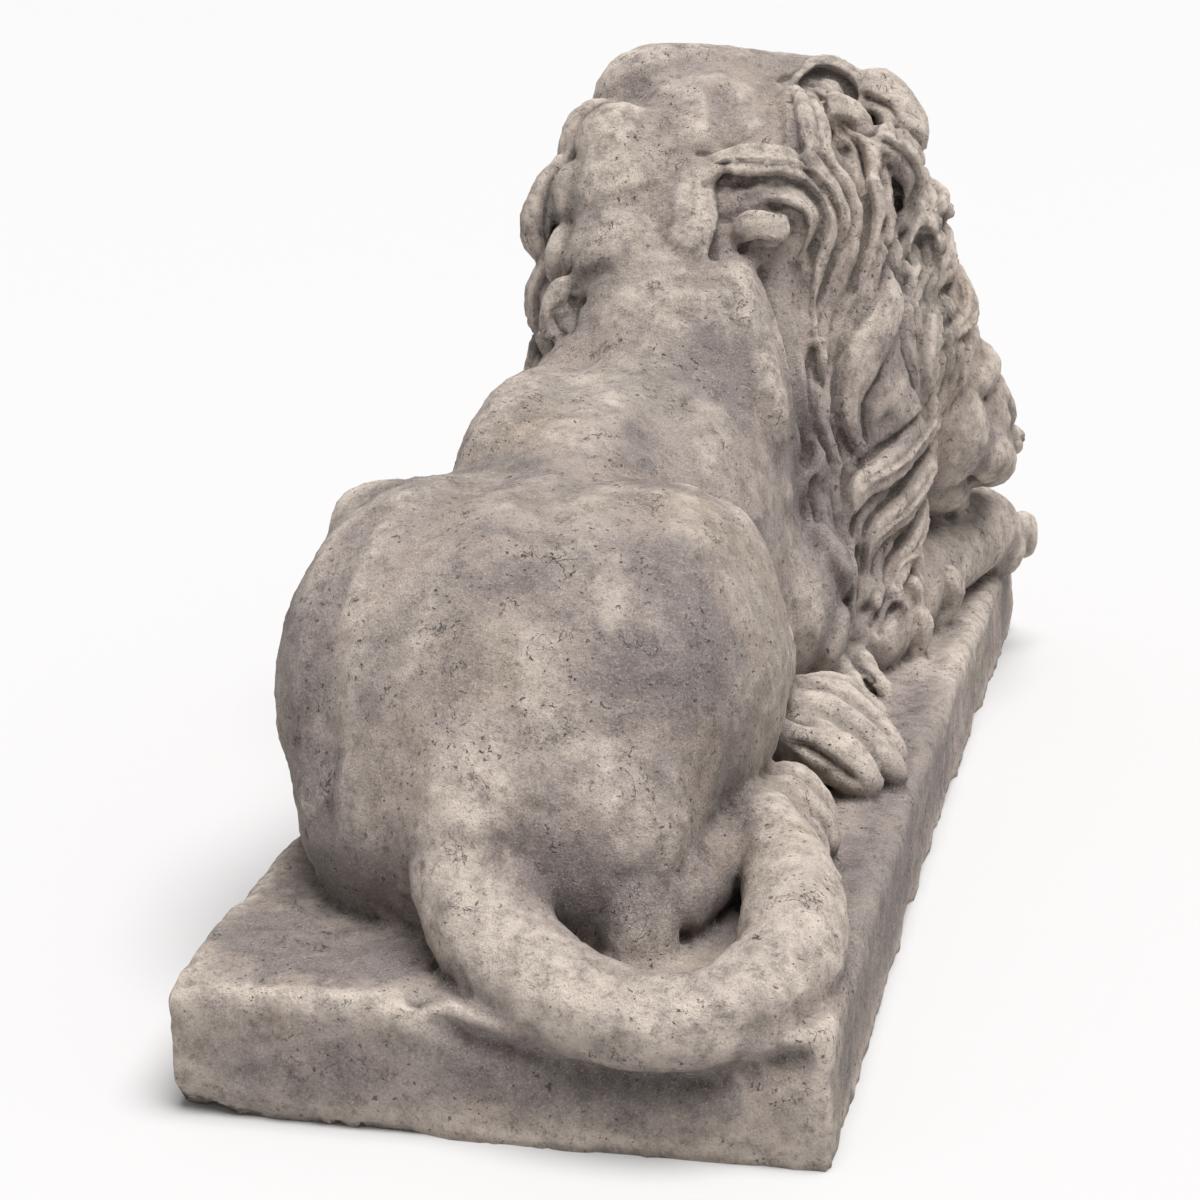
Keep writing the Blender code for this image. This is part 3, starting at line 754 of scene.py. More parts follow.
    def grows(self, clay: Clay, spot: Vector, normal: Vector) -> bool:
        """Returns whether a combed lock starts here: not on the face, nape, body or legs."""
        measure = clay.measure
        local = clay.head.matrix().inverted() @ (spot - measure.place(*clay.head.centre)) / measure.unit
        on_face = -local.y > 30 and abs(local.x) < 105 and local.z < 100
        left, back, up = measure.units(spot)
        on_body = up < 60 or back > -95
        on_nape = normal.y > 0.15 and -80 < left < 110
        on_crest = up > 440 and back > -290
        among_heroes = left < -60 and back > -235
        return not (on_face or on_body or on_nape or on_crest or among_heroes)

    def fills(self, clay: Clay, spot: Vector, normal: Vector) -> bool:
        """Returns whether a short lock starts here, under and between the others."""
        if self.grows(clay, spot, normal):
            return True
        left, back, up = clay.measure.units(spot)
        behind = -100 + max(0, 260 - up) * 0.25
        return 40 < up < 470 and -300 < back < behind and left < -96 and normal.x < 0.1


@dataclass
class Carver:
    """Moves a skin's points in and out, as a chisel and years of weather do.

    Attributes:
        measure: The figure's measure.
        mesh: The skin.
        spots: Its points.
        sides: Their outward sides.
    """

    measure: Measure
    mesh: bpy.types.Mesh
    spots: np.ndarray = field(init=False)
    sides: np.ndarray = field(init=False)

    def __post_init__(self) -> None:
        """Reads the skin's points and outward sides."""
        self.spots = self.row_each("co")
        self.sides = self.row_each("normal")

    def row_each(self, name: str) -> np.ndarray:
        """Returns one of the points' own vectors, a row for each point."""
        values = np.empty(len(self.mesh.vertices) * 3, np.float32)
        self.mesh.vertices.foreach_get(name, values)
        return values.reshape(-1, 3)

    def tree(self) -> BVHTree:
        """Returns the skin as a tree that finds its nearest point."""
        return BVHTree.FromPolygons(self.spots.tolist(), [face.vertices for face in self.mesh.polygons])

    def stroke(self, points: Sequence[Vector], radius: float, depth: float) -> None:
        """Presses a groove along a curve, or raises a ridge where the depth is below zero.

        Args:
            points: The curve's points in metres.
            radius: The groove's half width.
            depth: How deep it is in the middle.
        """
        near, fade = self.nearness(points, radius)
        self.spots[near] -= self.sides[near] * (fade * depth * self.measure.unit)[:, None]

    def nearness(self, points: Sequence[Vector], radius: float) -> tuple[np.ndarray, np.ndarray]:
        """Finds the skin's points along a curve.

        Args:
            points: The curve's points in metres.
            radius: How far from it a point may lie.

        Returns:
            The points' numbers, and how near each is, from 0 at the radius to 1 on the curve.
        """
        reach = radius * self.measure.unit
        steps = 4 * len(points)
        path = np.array([along(points, step / steps) for step in range(steps + 1)], np.float32)
        inside = np.all((self.spots > path.min(0) - reach) & (self.spots < path.max(0) + reach), axis=1)
        near = np.nonzero(inside)[0]
        closest = np.full(len(near), np.inf, np.float32)
        for start, end in zip(path[:-1], path[1:]):
            span = end - start
            share = np.clip((self.spots[near] - start) @ span / max(float(span @ span), 1e-12), 0, 1)
            gap = np.linalg.norm(self.spots[near] - start - share[:, None] * span, axis=1)
            closest = np.minimum(closest, gap)
        return near, np.clip(1 - (closest / reach) ** 2, 0, 1) ** 2

    def roughen(self, size: float, height: float, seed: float) -> None:
        """Makes the skin uneven.

        Args:
            size: The size of its lumps.
            height: How high they are.
            seed: Where in the endless pattern it starts.
        """
        scale = 1 / (size * self.measure.unit)
        shift = Vector((seed, seed * 1.7, seed * 0.3))
        lumps = np.array([noise.fractal(Vector(spot) * scale + shift, 1.0, 2.0, 3) for spot in self.spots])
        lumps *= height * self.measure.unit
        self.spots += self.sides * lumps[:, None].astype(np.float32)

    def store(self) -> None:
        """Writes the points back to the skin."""
        self.mesh.vertices.foreach_set("co", self.spots.reshape(-1))
        self.mesh.update()


@dataclass(frozen=True)
class Groove:
    """A groove, or a ridge where its depth is below zero.

    Attributes:
        places: The places that it runs through.
        radius: Its half width.
        depth: How deep it is in the middle.
    """

    places: tuple[Place, ...]
    radius: float
    depth: float


# The grooves of the body, mane, feet and plinth.
BODY_GROOVES: dict[str, Groove] = {
    "crest hollow, left": Groove(((66, -178, 478), (58, -162, 472), (50, -148, 464)), 20, 6),
    "crest hollow, right": Groove(((-8, -158, 476), (-17, -136, 461), (-24, -116, 438)), 17, 6),
    "neck fold": Groove((
        (-58, -88, 340), (-64, -85, 331), (-81, -70, 290), (-90, -60, 244), (-94, -69, 206),
        (-102, -62, 146), (-108, -58, 96)), 13, 9),
    "neck cord": Groove(((-40, -60, 342), (-62, -31, 288), (-77, -17, 231), (-84, -20, 180)), 26, -5),
    "shoulder valley": Groove(((-2, 40, 264), (-14, 100, 254), (-34, 130, 230), (-60, 150, 190)), 44, 7),
    "left of the spine": Groove(((74, 20, 268), (82, 110, 254), (86, 170, 240)), 40, 5),
    "almond": Groove(((122, -124, 412), (120, -112, 388), (120, -108, 364)), 9, 8),
    "leaf hollow": Groove(((92, -54, 330), (90, -46, 314), (88, -38, 298)), 8, 6),
    "flap crease": Groove(((-24, -96, 420), (-25, -84, 405), (-28, -75, 383), (-22, -62, 358)), 10, 10),
    "cape hem": Groove((
        (84, -48, 340), (56, -36, 350), (28, -18, 346), (-9, -29, 341), (-41, -49, 333)), 10, 4),
    "temple hollow": Groove(((-152, -204, 356), (-156, -192, 344), (-158, -200, 330)), 9, 9),
    "hollow under the lobe": Groove(((-112, -182, 426), (-128, -172, 412), (-136, -176, 398)), 13, 11),
    "rump hollow": Groove(((-6, 490, 92), (-20, 484, 82), (-36, 476, 72)), 34, 4),
    "tail root crease, left": Groove(((74, 460, 66), (66, 486, 34), (52, 512, 8)), 14, 7),
    "slab groove, upper": Groove(((-104, 142, 58), (-136, 160, 48), (-170, 172, 30)), 8, 6),
    "slab groove, lower": Groove(((-108, 168, 40), (-140, 180, 34), (-172, 190, 16)), 7, 6),
    "metatarsus line": Groove(((-84, 440, 60), (-92, 448, 34), (-94, 452, 8)), 12, 6),
    "tail undercut": Groove((
        (48, 560, -4), (10, 573, -22), (-60, 575, -38), (-128, 575, -38), (-186, 572, -16)), 15, 6),
    "chipped rear left foot": Groove(((222, 574, -90), (196, 574, -92)), 34, 9),
    "worn rear foot": Groove(((220, 574, -94), (120, 574, -100), (40, 574, -110)), 28, 7),
    "worn rear left corner": Groove(((218, 576, -60), (216, 574, -10), (210, 570, 4)), 24, 5),
    "rump valley, left": Groove(((150, 300, 230), (158, 372, 190), (150, 420, 130), (140, 440, 70)), 30, 6),
    "rump valley, right": Groove(((-34, 300, 244), (-40, 380, 205), (-40, 430, 150)), 44, 7),
    "hip fold": Groove(((-92, 300, 130), (-98, 250, 120), (-92, 200, 128)), 26, 4),
    "flank fold": Groove(((-70, 190, 168), (-92, 196, 120), (-98, 200, 84)), 20, 8),
}

# The grooves of one side of the face, in the head's left, front and up.
FACE_GROOVES: dict[str, Groove] = {
    "mouth": Groove(((0, 196, -50), (22, 186, -60), (44, 160, -62), (60, 126, -52)), 7, 8),
    "philtrum": Groove(((0, 202, -18), (0, 198, -34), (0, 194, -50)), 5, 5),
    "nostril": Groove(((9, 214, -6), (17, 211, -4), (23, 204, 2)), 5, 7),
    "beside the nose": Groove(((30, 196, 6), (36, 178, 14), (38, 158, 20)), 9, 4),
    "inner corner of the eye": Groove(((26, 132, 22), (32, 124, 16)), 9, 6),
    "between the lids": Groove(((32, 120, 17), (46, 122, 20), (62, 106, 19)), 4, 5),
    "under the eye": Groove(((30, 128, 4), (50, 118, -2), (70, 96, 4)), 9, 4),
    "between the brows": Groove(((6, 112, 66), (5, 96, 74), (4, 72, 84)), 8, 4),
}


@dataclass
class Chisel:
    """The hollows, folds and chips that are cut into the melted skin.

    Attributes:
        seed: The seed of the nicks along the plinth's edges.
        nicks: How many nicks there are.
        nick_sizes: The least and the most half length of a nick.
        on_long_sides: The share of the nicks that are on the long sides.
        body: The grooves of the body, mane, feet and plinth.
        head: The grooves of one side of the face.
    """

    seed: int = 11
    nicks: int = 46
    nick_sizes: tuple[float, float] = (7, 20)
    on_long_sides: float = 0.7
    body: dict[str, Groove] = field(default_factory=BODY_GROOVES.copy)
    head: dict[str, Groove] = field(default_factory=FACE_GROOVES.copy)

    def cut(self, carver: "Carver", clay: Clay, plinth: Plinth) -> None:
        """Cuts all the grooves, then the nicks along the plinth's edges.

        Args:
            carver: The skin that is cut.
            clay: What knows the figure's places and the head's.
            plinth: The plinth.
        """
        for groove in self.body.values():
            carver.stroke(clay.measure.path(groove.places), groove.radius, groove.depth)
        for side in (1, -1):
            for groove in self.head.values():
                spots = [clay.head_place(side * left, front, up) for left, front, up in groove.places]
                carver.stroke(spots, groove.radius, groove.depth)
        dice = random.Random(self.seed)
        for _ in range(self.nicks):
            edge_y = dice.uniform(-0.5, 0.5) * plinth.length
            along_side = dice.random() < self.on_long_sides
            right = plinth.aside - plinth.width / 2 - plinth.flare * (0.5 - edge_y / plinth.length) ** 2
            left = plinth.aside + plinth.width / 2
            x = dice.choice((left, right)) if along_side else dice.uniform(right, left)
            y = edge_y if along_side else dice.choice((-0.5, 0.5)) * plinth.length
            spot = Vector((x, y, dice.choice((plinth.height, 0.0))))
            reach = Vector((0, 1, 0)) if along_side else Vector((1, 0, 0))
            size = dice.uniform(*self.nick_sizes)
            span = reach * size * clay.measure.unit
            carver.stroke([spot - span, spot, spot + span], size, size * dice.uniform(0.1, 0.22))


# Dark and pale marks: stain in some places, painted shade and painted highlight in others. A mark's depth is
# how dark it is, below zero how pale.
STAINS_AND_PAINTED_LIGHT: dict[str, Groove] = {
    # Painted shade on the rump's left flank, away from the light.
    "rump, left flank": Groove((
        (190, 300, 150), (178, 378, 160), (164, 412, 110), (140, 452, 50)), 60, 0.75),
    # Painted shade on the middle of the rump, a steep face that the light from above hardly reaches.
    "rump, middle": Groove(((60, 345, 228), (50, 405, 200), (48, 438, 165)), 44, 0.6),
    # Painted shade on the rump's right side.
    "rump, right": Groove(((-70, 340, 210), (-88, 365, 190), (-90, 382, 160), (-60, 410, 165)), 56, 1.0),
    # Painted shade in the hollow of the loin.
    "loin hollow": Groove(((0, 130, 256), (-20, 180, 250), (-34, 235, 244)), 40, 0.9),
    "waist, left": Groove(((100, 180, 240), (70, 200, 250)), 50, 0.5),
    # Painted shadow under the rump, inside the tail's loop.
    "tail loop": Groove(((-20, 490, 60), (-55, 476, 40), (-100, 440, 20), (-120, 400, 10)), 50, 0.9),
    # Painted shadow of the tail on the plinth's rear face.
    "under the tail": Groove(((10, 571, -34), (-60, 571, -44), (-130, 571, -44)), 44, 0.9),
    # Painted shade low on the left haunch, by the foot.
    "haunch, foot": Groove(((150, 440, 30), (110, 480, 20), (80, 500, 8)), 46, 0.8),
    "plinth, left rear": Groove(((190, 480, 0), (150, 510, 0), (100, 530, 0)), 60, 0.9),
    # Painted shade along the right of the plinth's top.
    "plinth, right top": Groove(((-180, 500, 0), (-190, 250, 0), (-190, -100, 0)), 40, 0.7),
    # Painted shade on the plinth's rear face.
    "plinth, rear": Groove(((150, 571, -60), (90, 571, -50)), 60, 0.5),
    # Painted shade on the plinth's right face.
    "plinth, right": Groove(((-200, 500, -40), (-205, 300, -40), (-215, 0, -40)), 60, 0.7),
    # Painted shade on the right shoulder and chest, under the mane.
    "chest": Groove(((-92, -60, 228), (-102, -66, 146), (-114, -60, 70)), 60, 1.0),
    # Painted shade in a hollow of the crest.
    "crest hollow": Groove(((62, -172, 476), (52, -150, 466)), 30, 0.6),
    # Painted shade in a hollow of the crest.
    "crest hollow, right": Groove(((-6, -160, 476), (-24, -116, 438)), 28, 0.45),
    # Painted shade in the fold under the cape's hem.
    "nape fold": Groove(((62, -42, 356), (20, -30, 348), (-30, -46, 340)), 22, 0.45),
    # Painted highlight on the tail's root, which faces up.
    "tail root": Groove(((40, 505, 75), (20, 530, 50), (-40, 570, 24), (-110, 580, 20)), 36, -0.8),
    "rump, pale": Groove(((10, 420, 190), (-10, 438, 150), (-40, 440, 120)), 34, -0.7),
    # Painted highlight on the top of the back.
    "back": Groove(((60, 60, 280), (30, 110, 268)), 60, -0.4),
    "nape": Groove(((60, -110, 430), (40, -60, 370), (10, -30, 320)), 70, -0.6),
    # Painted highlight on the lit right side of the mane.
    "curls": Groove(((-50, -110, 420), (-95, -140, 340), (-105, -130, 240)), 60, -0.6),
    # Painted highlight on the lit right side of the mane.
    "ear and lobes": Groove(((-80, -220, 470), (-140, -230, 440), (-170, -260, 330)), 60, -0.5),
    # Painted highlight on the lit right side of the face.
    "face": Groove(((-150, -380, 260), (-200, -350, 190)), 80, -0.5),
    # Paler along the plinth's rear top edge: wear, and a painted highlight where the rounded edge meets the
    # light.
    "plinth edge": Groove(((200, 571, 0), (120, 571, 0), (60, 571, 0)), 14, -0.8),
}


@dataclass(frozen=True)
class StainsAndPaintedLight:
    """Dark and pale marks on the stone: stain in some places, painted shade and painted highlight in others.

    Attributes:
        marks: Each mark's path, half width and strength: some are stain, the others painted shade and painted
            highlight.
    """

    marks: dict[str, Groove] = field(default_factory=STAINS_AND_PAINTED_LIGHT.copy)

    def darkness(self, carver: Carver) -> np.ndarray:
        """Returns how dark each of the skin's points is marked by stain and painted shade, below zero how
        pale by stain and painted highlight.
        """
        stain_and_painted_light = np.zeros(len(carver.spots))
        for stain in self.marks.values():
            near, fade = carver.nearness(carver.measure.path(stain.places), stain.radius)
            stain_and_painted_light[near] += fade * stain.depth
        return stain_and_painted_light


@dataclass
class Statue:
    """The lion and its plinth as one stone.

    Attributes:
        grade: How finely it is worked.
        measure: The figure's measure.
        head: The pose of the head.
        plinth: The plinth.
        roughness: The passes that make the skin uneven: each one's size, height and seed.
    """

    grade: Grade
    measure: Measure = field(default_factory=Measure)
    head: HeadPose = field(default_factory=HeadPose)
    plinth: Plinth = field(default_factory=Plinth)
    roughness: tuple[Place, ...] = ((46, 1.7, 3.1), (15, 1.1, 8.4), (6, 0.65, 5.2))

    def build(self) -> bpy.types.Object:
        """Models and carves the stone, roughens it, stores its stain and painted light, and returns it as one
        piece.
        """
        mane = Mane()
        full = self.melted(mane)
        carver = Carver(self.measure, full)
        mane.cut_lines(carver)
        Chisel().cut(carver, Clay(self.measure, self.head), self.plinth)
        for size, height, seed in self.roughness:
            carver.roughen(size, height, seed)
        self.keep_inside(carver)
        carver.store()
        skin = self.thinned(full)
        trimmed = Carver(self.measure, skin)
        self.keep_inside(trimmed)
        trimmed.store()
        self.mark_recesses(full, skin)
        skin.shade_smooth()
        stone = bpy.data.objects.new("lion_and_plinth", skin)
        bpy.context.scene.collection.objects.link(stone)
        return stone

    def bulk(self) -> bpy.types.Mesh:
        """Returns the smooth form under the hair: the soft masses, then the bones and the crest."""
        soft = Clay(self.measure, self.head)
        trunk = Trunk()
        trunk.shape(soft)
        Limbs().shape_forelegs(soft)
        masses = soft.fused(9, 16, 4)
        firm = Clay(self.measure, self.head)
        firm.mesh.from_mesh(masses)
        trunk.bones_and_crest(firm)
        return firm.fused(7, 12, 1)

    def melted(self, mane: Mane) -> bpy.types.Mesh:
        """Returns the whole form, with this mane, melted into one skin."""
        limbs = Limbs()
        form = self.bulk()
        surface = BVHTree.FromPolygons([v.co for v in form.vertices], [p.vertices for p in form.polygons])
        clay = Clay(self.measure, self.head)
        clay.mesh.from_mesh(form)
        mane.shape(clay, surface)
        Face().shape(clay)
        limbs.shape_paws(clay)
        limbs.shape_hind_feet(clay)
        limbs.shape_tail(clay)
        self.plinth.shape(clay)
        return clay.fused(self.grade.value[0], 3)

    def thinned(self, skin: bpy.types.Mesh) -> bpy.types.Mesh:
        """Returns the skin with fewer faces, most where the carving is, and without crumbs."""
        lump = bpy.data.objects.new("thinned", skin)
        thin = lump.modifiers.new("Thin", "DECIMATE")
        thin.ratio = min(1.0, self.grade.value[1] / (2 * len(skin.polygons)))
        thinner = evaluated(lump)
        form = bmesh.new()
        form.from_mesh(thinner)
        crumbs = [face for face in form.faces
                  if len({near for edge in face.edges for near in edge.link_faces}) < 3]
        bmesh.ops.delete(form, geom=crumbs, context="FACES")
        form.to_mesh(thinner)
        form.free()
        return thinner

    def keep_inside(self, carver: Carver) -> None:
        """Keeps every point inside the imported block's box, and the underside flat."""
        low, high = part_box(NODE)
        margin, flat_below = 0.0002, 0.004
        carver.spots = np.clip(carver.spots, np.array(low) + margin, np.array(high) - margin)
        underside = carver.spots[:, 2] < flat_below
        carver.spots[underside, 2] = low.z

    def mark_recesses(self, full: bpy.types.Mesh, skin: bpy.types.Mesh) -> None:
        """Stores how dark each point is marked by stain and painted shade, below zero how pale by stain and
        painted highlight, and how deep it lies, finely and broadly.

        Args:
            full: The skin before it was thinned, whose points are evenly spread.
            skin: The thinned skin, which takes the depths of the nearest points.
        """
        carved = Carver(self.measure, full)
        spots = carved.spots.astype(np.float64)
        count = len(spots)
        ends = np.empty(len(full.edges) * 2, np.int64)
        full.edges.foreach_get("vertices", ends)
        a, b = ends.reshape(-1, 2).T
        joined = np.bincount(a, minlength=count) + np.bincount(b, minlength=count)
        tree = KDTree(count)
        for number, spot in enumerate(spots):
            tree.insert(spot, number)
        tree.balance()
        nearest = [tree.find(vert.co)[1] for vert in skin.vertices]
        # How dark each point is marked by stain and painted shade, below zero how pale by stain and painted
        # highlight.
        layer = skin.attributes.new("stain_and_painted_light", "FLOAT", "POINT")
        layer.data.foreach_set("value", StainsAndPaintedLight().darkness(carved)[nearest].astype(np.float32))
        smooth = spots.copy()
        # How deep each point lies, finely and broadly: the material paints shade by it in the recesses and a
        # highlight on what stands proud.
        for name, passes in (("recess", 8), ("hollow", 70)):
            for _ in range(passes):
                total = np.empty_like(smooth)
                for axis in range(3):
                    column = smooth[:, axis]
                    total[:, axis] = np.bincount(a, column[b], count) + np.bincount(b, column[a], count)
                smooth = total / joined[:, None]
            depth = ((smooth - spots) * carved.sides).sum(axis=1) / self.measure.unit
            layer = skin.attributes.new(name, "FLOAT", "POINT")
            layer.data.foreach_set("value", depth[nearest].astype(np.float32))


def linear(colour: str) -> tuple[float, float, float, float]:
    """Turns an sRGB hex colour such as "#c8b9a4" to the linear values that shaders take."""
    channels = [int(colour[start:start + 2], 16) / 255 for start in (1, 3, 5)]
    return (*[c / 12.92 if c <= 0.04045 else ((c + 0.055) / 1.055) ** 2.4 for c in channels], 1.0)


def add_node(tree: Tree, kind: str, links: dict[str | int, Socket] | None = None,
             inputs: dict[str, object] | None = None, **settings: object) -> bpy.types.Node:
    """Adds a shader node.

    Args:
        tree: The material's or world's tree.
        kind: The node's type.
        links: Sockets to link to its inputs, by input name or number.
        inputs: Values of its inputs, by input name or number.
        **settings: Its own settings.

    Returns:
        The node.
    """
    node = tree.nodes.new(kind)
    for name, value in settings.items():
        setattr(node, name, value)
    for name, value in (inputs or {}).items():
        node.inputs[name].default_value = value
    for name, socket in (links or {}).items():
        tree.links.new(socket, node.inputs[name])
    return node


@dataclass(frozen=True)
class Mixer:
    """Joins one material's shader nodes.

    Attributes:
        tree: The material's tree.
        where: The place on the object.
    """

    tree: Tree
    where: Socket

    def carried(self, name: str) -> Socket:
        """Returns a value that the skin carries under this name."""
        return add_node(self.tree, "ShaderNodeAttribute", attribute_name=name).outputs["Fac"]

    def mapped(self, where: Socket, **inputs: Place) -> Socket:
        """Returns a place that is moved or scaled."""
        return add_node(self.tree, "ShaderNodeMapping", {"Vector": where}, inputs).outputs["Vector"]

    def noise(self, size_mm: float, detail: float, where: Socket | None = None, **inputs: float) -> Socket:
        """Returns a noise pattern with features of the given size."""
        values = {"Scale": 1000 / size_mm, "Detail": detail, **inputs}
        links = {"Vector": where or self.where}
        return add_node(self.tree, "ShaderNodeTexNoise", links, values).outputs["Fac"]

    def ramp(self, value: Socket, low: float, high: float) -> Socket:
        """Returns 0 below low, 1 above high and a smooth rise between."""
        node = add_node(self.tree, "ShaderNodeMapRange", {"Value": value},
                        {"From Min": low, "From Max": high}, interpolation_type="SMOOTHSTEP")
        return node.outputs["Result"]

    def combined(self, a: Socket | float, b: Socket | float, operation: str = "MULTIPLY") -> Socket:
        """Returns two values combined, each a socket or a number."""
        node = add_node(self.tree, "ShaderNodeMath", operation=operation)
        for slot, value in enumerate((a, b)):
            if isinstance(value, (int, float)):
                node.inputs[slot].default_value = value
            else:
                self.tree.links.new(value, node.inputs[slot])
        return node.outputs[0]

    def tinted(self, colour: Socket | str, tint: str, share: Socket, strength: float) -> Socket:
        """Returns a colour with a tint laid over it, this strong where the share is 1."""
        under, over, result = 6, 7, 2
        node = add_node(self.tree, "ShaderNodeMix", {0: self.combined(share, strength)}, data_type="RGBA")
        if isinstance(colour, str):
            node.inputs[under].default_value = linear(colour)
        else:
            self.tree.links.new(colour, node.inputs[under])
        node.inputs[over].default_value = linear(tint)
        return node.outputs[result]


@dataclass(frozen=True)
class CastStone:
    """Reconstituted stone: crushed stone and cement, cast, then left in the weather for years.

    It is matt and sandy, with a tooth like coarse sandpaper, small blown pores and short wandering
    cracks. It is stained in soft patches. Painted light lies over that: a painted highlight on what
    stands proud and on lit places, and painted shade in the recesses and shaded places.

    Attributes:
        body: The stone's own warm grey-beige.
        warm: Where it is stained yellow-tan.
        cool_and_shade: Where it is stained purple-grey, and also the painted shade of shaded places.
        moss: Where it is stained greenish grey.
        bloom_and_highlight: Pale stain patches and pale grains, and the painted highlight on what stands
            proud and on lit places.
        grime_and_shade: The dark of the pores, cracks, grain and cloudy patches, and the painted shade in the
            recesses and shaded places.
        patch_mm: The size of the stains.
        grain_mm: The size of the sand grains, drawn a little coarser than real so that they show.
        pit_mm: The size of the pores, which are 1 to 3 mm across.
        crack_mm: The size of the loops that the cracks are parts of.
        relief_m: The height of the grain and pores for the bump.
    """

    body: str = "#a89b94"
    warm: str = "#a99887"
    cool_and_shade: str = "#756c6b"
    moss: str = "#87847a"
    bloom_and_highlight: str = "#d8cabd"
    grime_and_shade: str = "#4b423d"
    patch_mm: float = 150
    grain_mm: float = 1.6
    pit_mm: float = 4.2
    crack_mm: float = 34
    relief_m: float = 0.0038

    def material(self) -> bpy.types.Material:
        """Returns the stone as a material."""
        made = bpy.data.materials.new("weathered_cast_stone")
        made.use_nodes = True
        tree = made.node_tree
        shader = tree.nodes["Principled BSDF"]
        shader.inputs["Roughness"].default_value = 0.92
        shader.inputs["IOR"].default_value = 1.5
        mixer = Mixer(tree, add_node(tree, "ShaderNodeTexCoord").outputs["Object"])
        colour = self.weathered(mixer, self.stained(mixer))
        colour, height = self.grained(mixer, colour)
        tree.links.new(colour, shader.inputs["Base Color"])
        bump = add_node(tree, "ShaderNodeBump", {"Height": height},
                        {"Strength": 1.0, "Distance": self.relief_m})
        tree.links.new(bump.outputs["Normal"], shader.inputs["Normal"])
        return made

    def stained(self, mixer: Mixer) -> Socket:
        """Returns the stone's own colour with its broad stains, a little drawn out downwards."""
        run = mixer.mapped(mixer.where, Scale=(1, 1, 0.6))
        colour: Socket | str = self.body
        for stain, size, low, high, strength, shift in (
            (self.warm, 1.0, 0.44, 0.66, 0.7, (0, 0, 0)),
            (self.cool_and_shade, 0.8, 0.44, 0.66, 0.75, (3, 1, 7)),
            (self.moss, 0.9, 0.46, 0.7, 0.6, (9, 4, 2)),
            (self.bloom_and_highlight, 0.5, 0.5, 0.72, 0.55, (5, 8, 1)),
        ):
            patch = mixer.noise(self.patch_mm * size, 8, mixer.mapped(run, Location=shift),
                                Roughness=0.7, Distortion=0.35)
            colour = mixer.tinted(colour, stain, mixer.ramp(patch, low, high), strength)
        return colour

    def weathered(self, mixer: Mixer, colour: Socket) -> Socket:
        """Returns the colour with painted light: a painted highlight on what stands proud, the stored dark
        and pale marks, which are stain, painted shade and painted highlight, and painted shade in the
        recesses.
        """
        ramp, combined = mixer.ramp, mixer.combined
        fine, broad, stain_and_painted_light = (mixer.carried(name) for name in ("recess", "hollow", "stain_and_painted_light"))
        ragged = mixer.noise(18, 7, Roughness=0.72)
        uneven = combined(ragged, 0.5, "SUBTRACT")
        # Painted highlight: paler on what stands proud of the broad hollows.
        proud = combined(ramp(combined(broad, -1), 0.2, 4), ramp(ragged, 0.3, 0.62))
        colour = mixer.tinted(colour, self.bloom_and_highlight, proud, 0.9)
        edge = combined(uneven, 2.6)
        # Darker where the stored marks are dark: stain, and painted shade on shaded places.
        dark_stain_and_shade = combined(ramp(combined(stain_and_painted_light, edge, "ADD"), 0.0, 1.0), ramp(stain_and_painted_light, 0.0, 0.5))
        colour = mixer.tinted(colour, self.cool_and_shade, dark_stain_and_shade, 0.75)
        # Paler where the stored marks are pale: stain, and painted highlight on lit places.
        paleness = combined(combined(stain_and_painted_light, -1), edge, "ADD")
        pale_stain_and_highlight = combined(ramp(paleness, 0.0, 1.0), ramp(stain_and_painted_light, 0.0, -0.5))
        colour = mixer.tinted(colour, self.bloom_and_highlight, pale_stain_and_highlight, 0.6)
        # Painted shade in the fine recesses, and more softly in the broad hollows.
        loose = combined(uneven, 3.2)
        deep = ramp(combined(fine, combined(loose, 0.5), "ADD"), 0.5, 2.4)
        colour = mixer.tinted(colour, self.grime_and_shade, deep, 0.75)
        sunk = ramp(combined(broad, loose, "ADD"), 2.0, 11)
        return mixer.tinted(colour, self.grime_and_shade, sunk, 0.3)

    def grained(self, mixer: Mixer, colour: Socket) -> tuple[Socket, Socket]:
        """Returns the colour with its grain, pores and cracks, and their height for the bump."""
        ramp, combined = mixer.ramp, mixer.combined
        grain = mixer.noise(self.grain_mm, 4, Roughness=0.8)
        coarse = mixer.noise(self.grain_mm * 6, 6, Roughness=0.75)
        cloudy = mixer.noise(26, 6, Roughness=0.7)
        light = ramp(combined(1.0, grain, "SUBTRACT"), 0.52, 0.72)
        pit = ramp(mixer.noise(self.pit_mm, 2, Roughness=0.5), 0.66, 0.72)
        pit = combined(pit, ramp(mixer.noise(55, 4), 0.42, 0.6))
        loops = mixer.noise(self.crack_mm, 4, Roughness=0.6, Distortion=1.6)
        line = combined(combined(loops, 0.5, "SUBTRACT"), 0, "ABSOLUTE")
        crack = ramp(combined(0.009, line, "SUBTRACT"), 0, 0.006)
        crack = combined(crack, ramp(mixer.noise(30, 3, Roughness=0.5), 0.58, 0.64))
        for tint, share, strength in (
            (self.grime_and_shade, ramp(cloudy, 0.48, 0.7), 0.42),
            (self.grime_and_shade, ramp(coarse, 0.5, 0.7), 0.5),
            (self.grime_and_shade, ramp(grain, 0.53, 0.72), 0.8),
            (self.bloom_and_highlight, light, 0.6),
            (self.grime_and_shade, pit, 0.8),
            (self.grime_and_shade, crack, 0.75),
        ):
            colour = mixer.tinted(colour, tint, share, strength)
        height = combined(combined(grain, 0.5), combined(coarse, 1.1), "ADD")
        sunk = combined(combined(pit, 1.6), combined(crack, 1.2), "ADD")
        return colour, combined(height, sunk, "SUBTRACT")


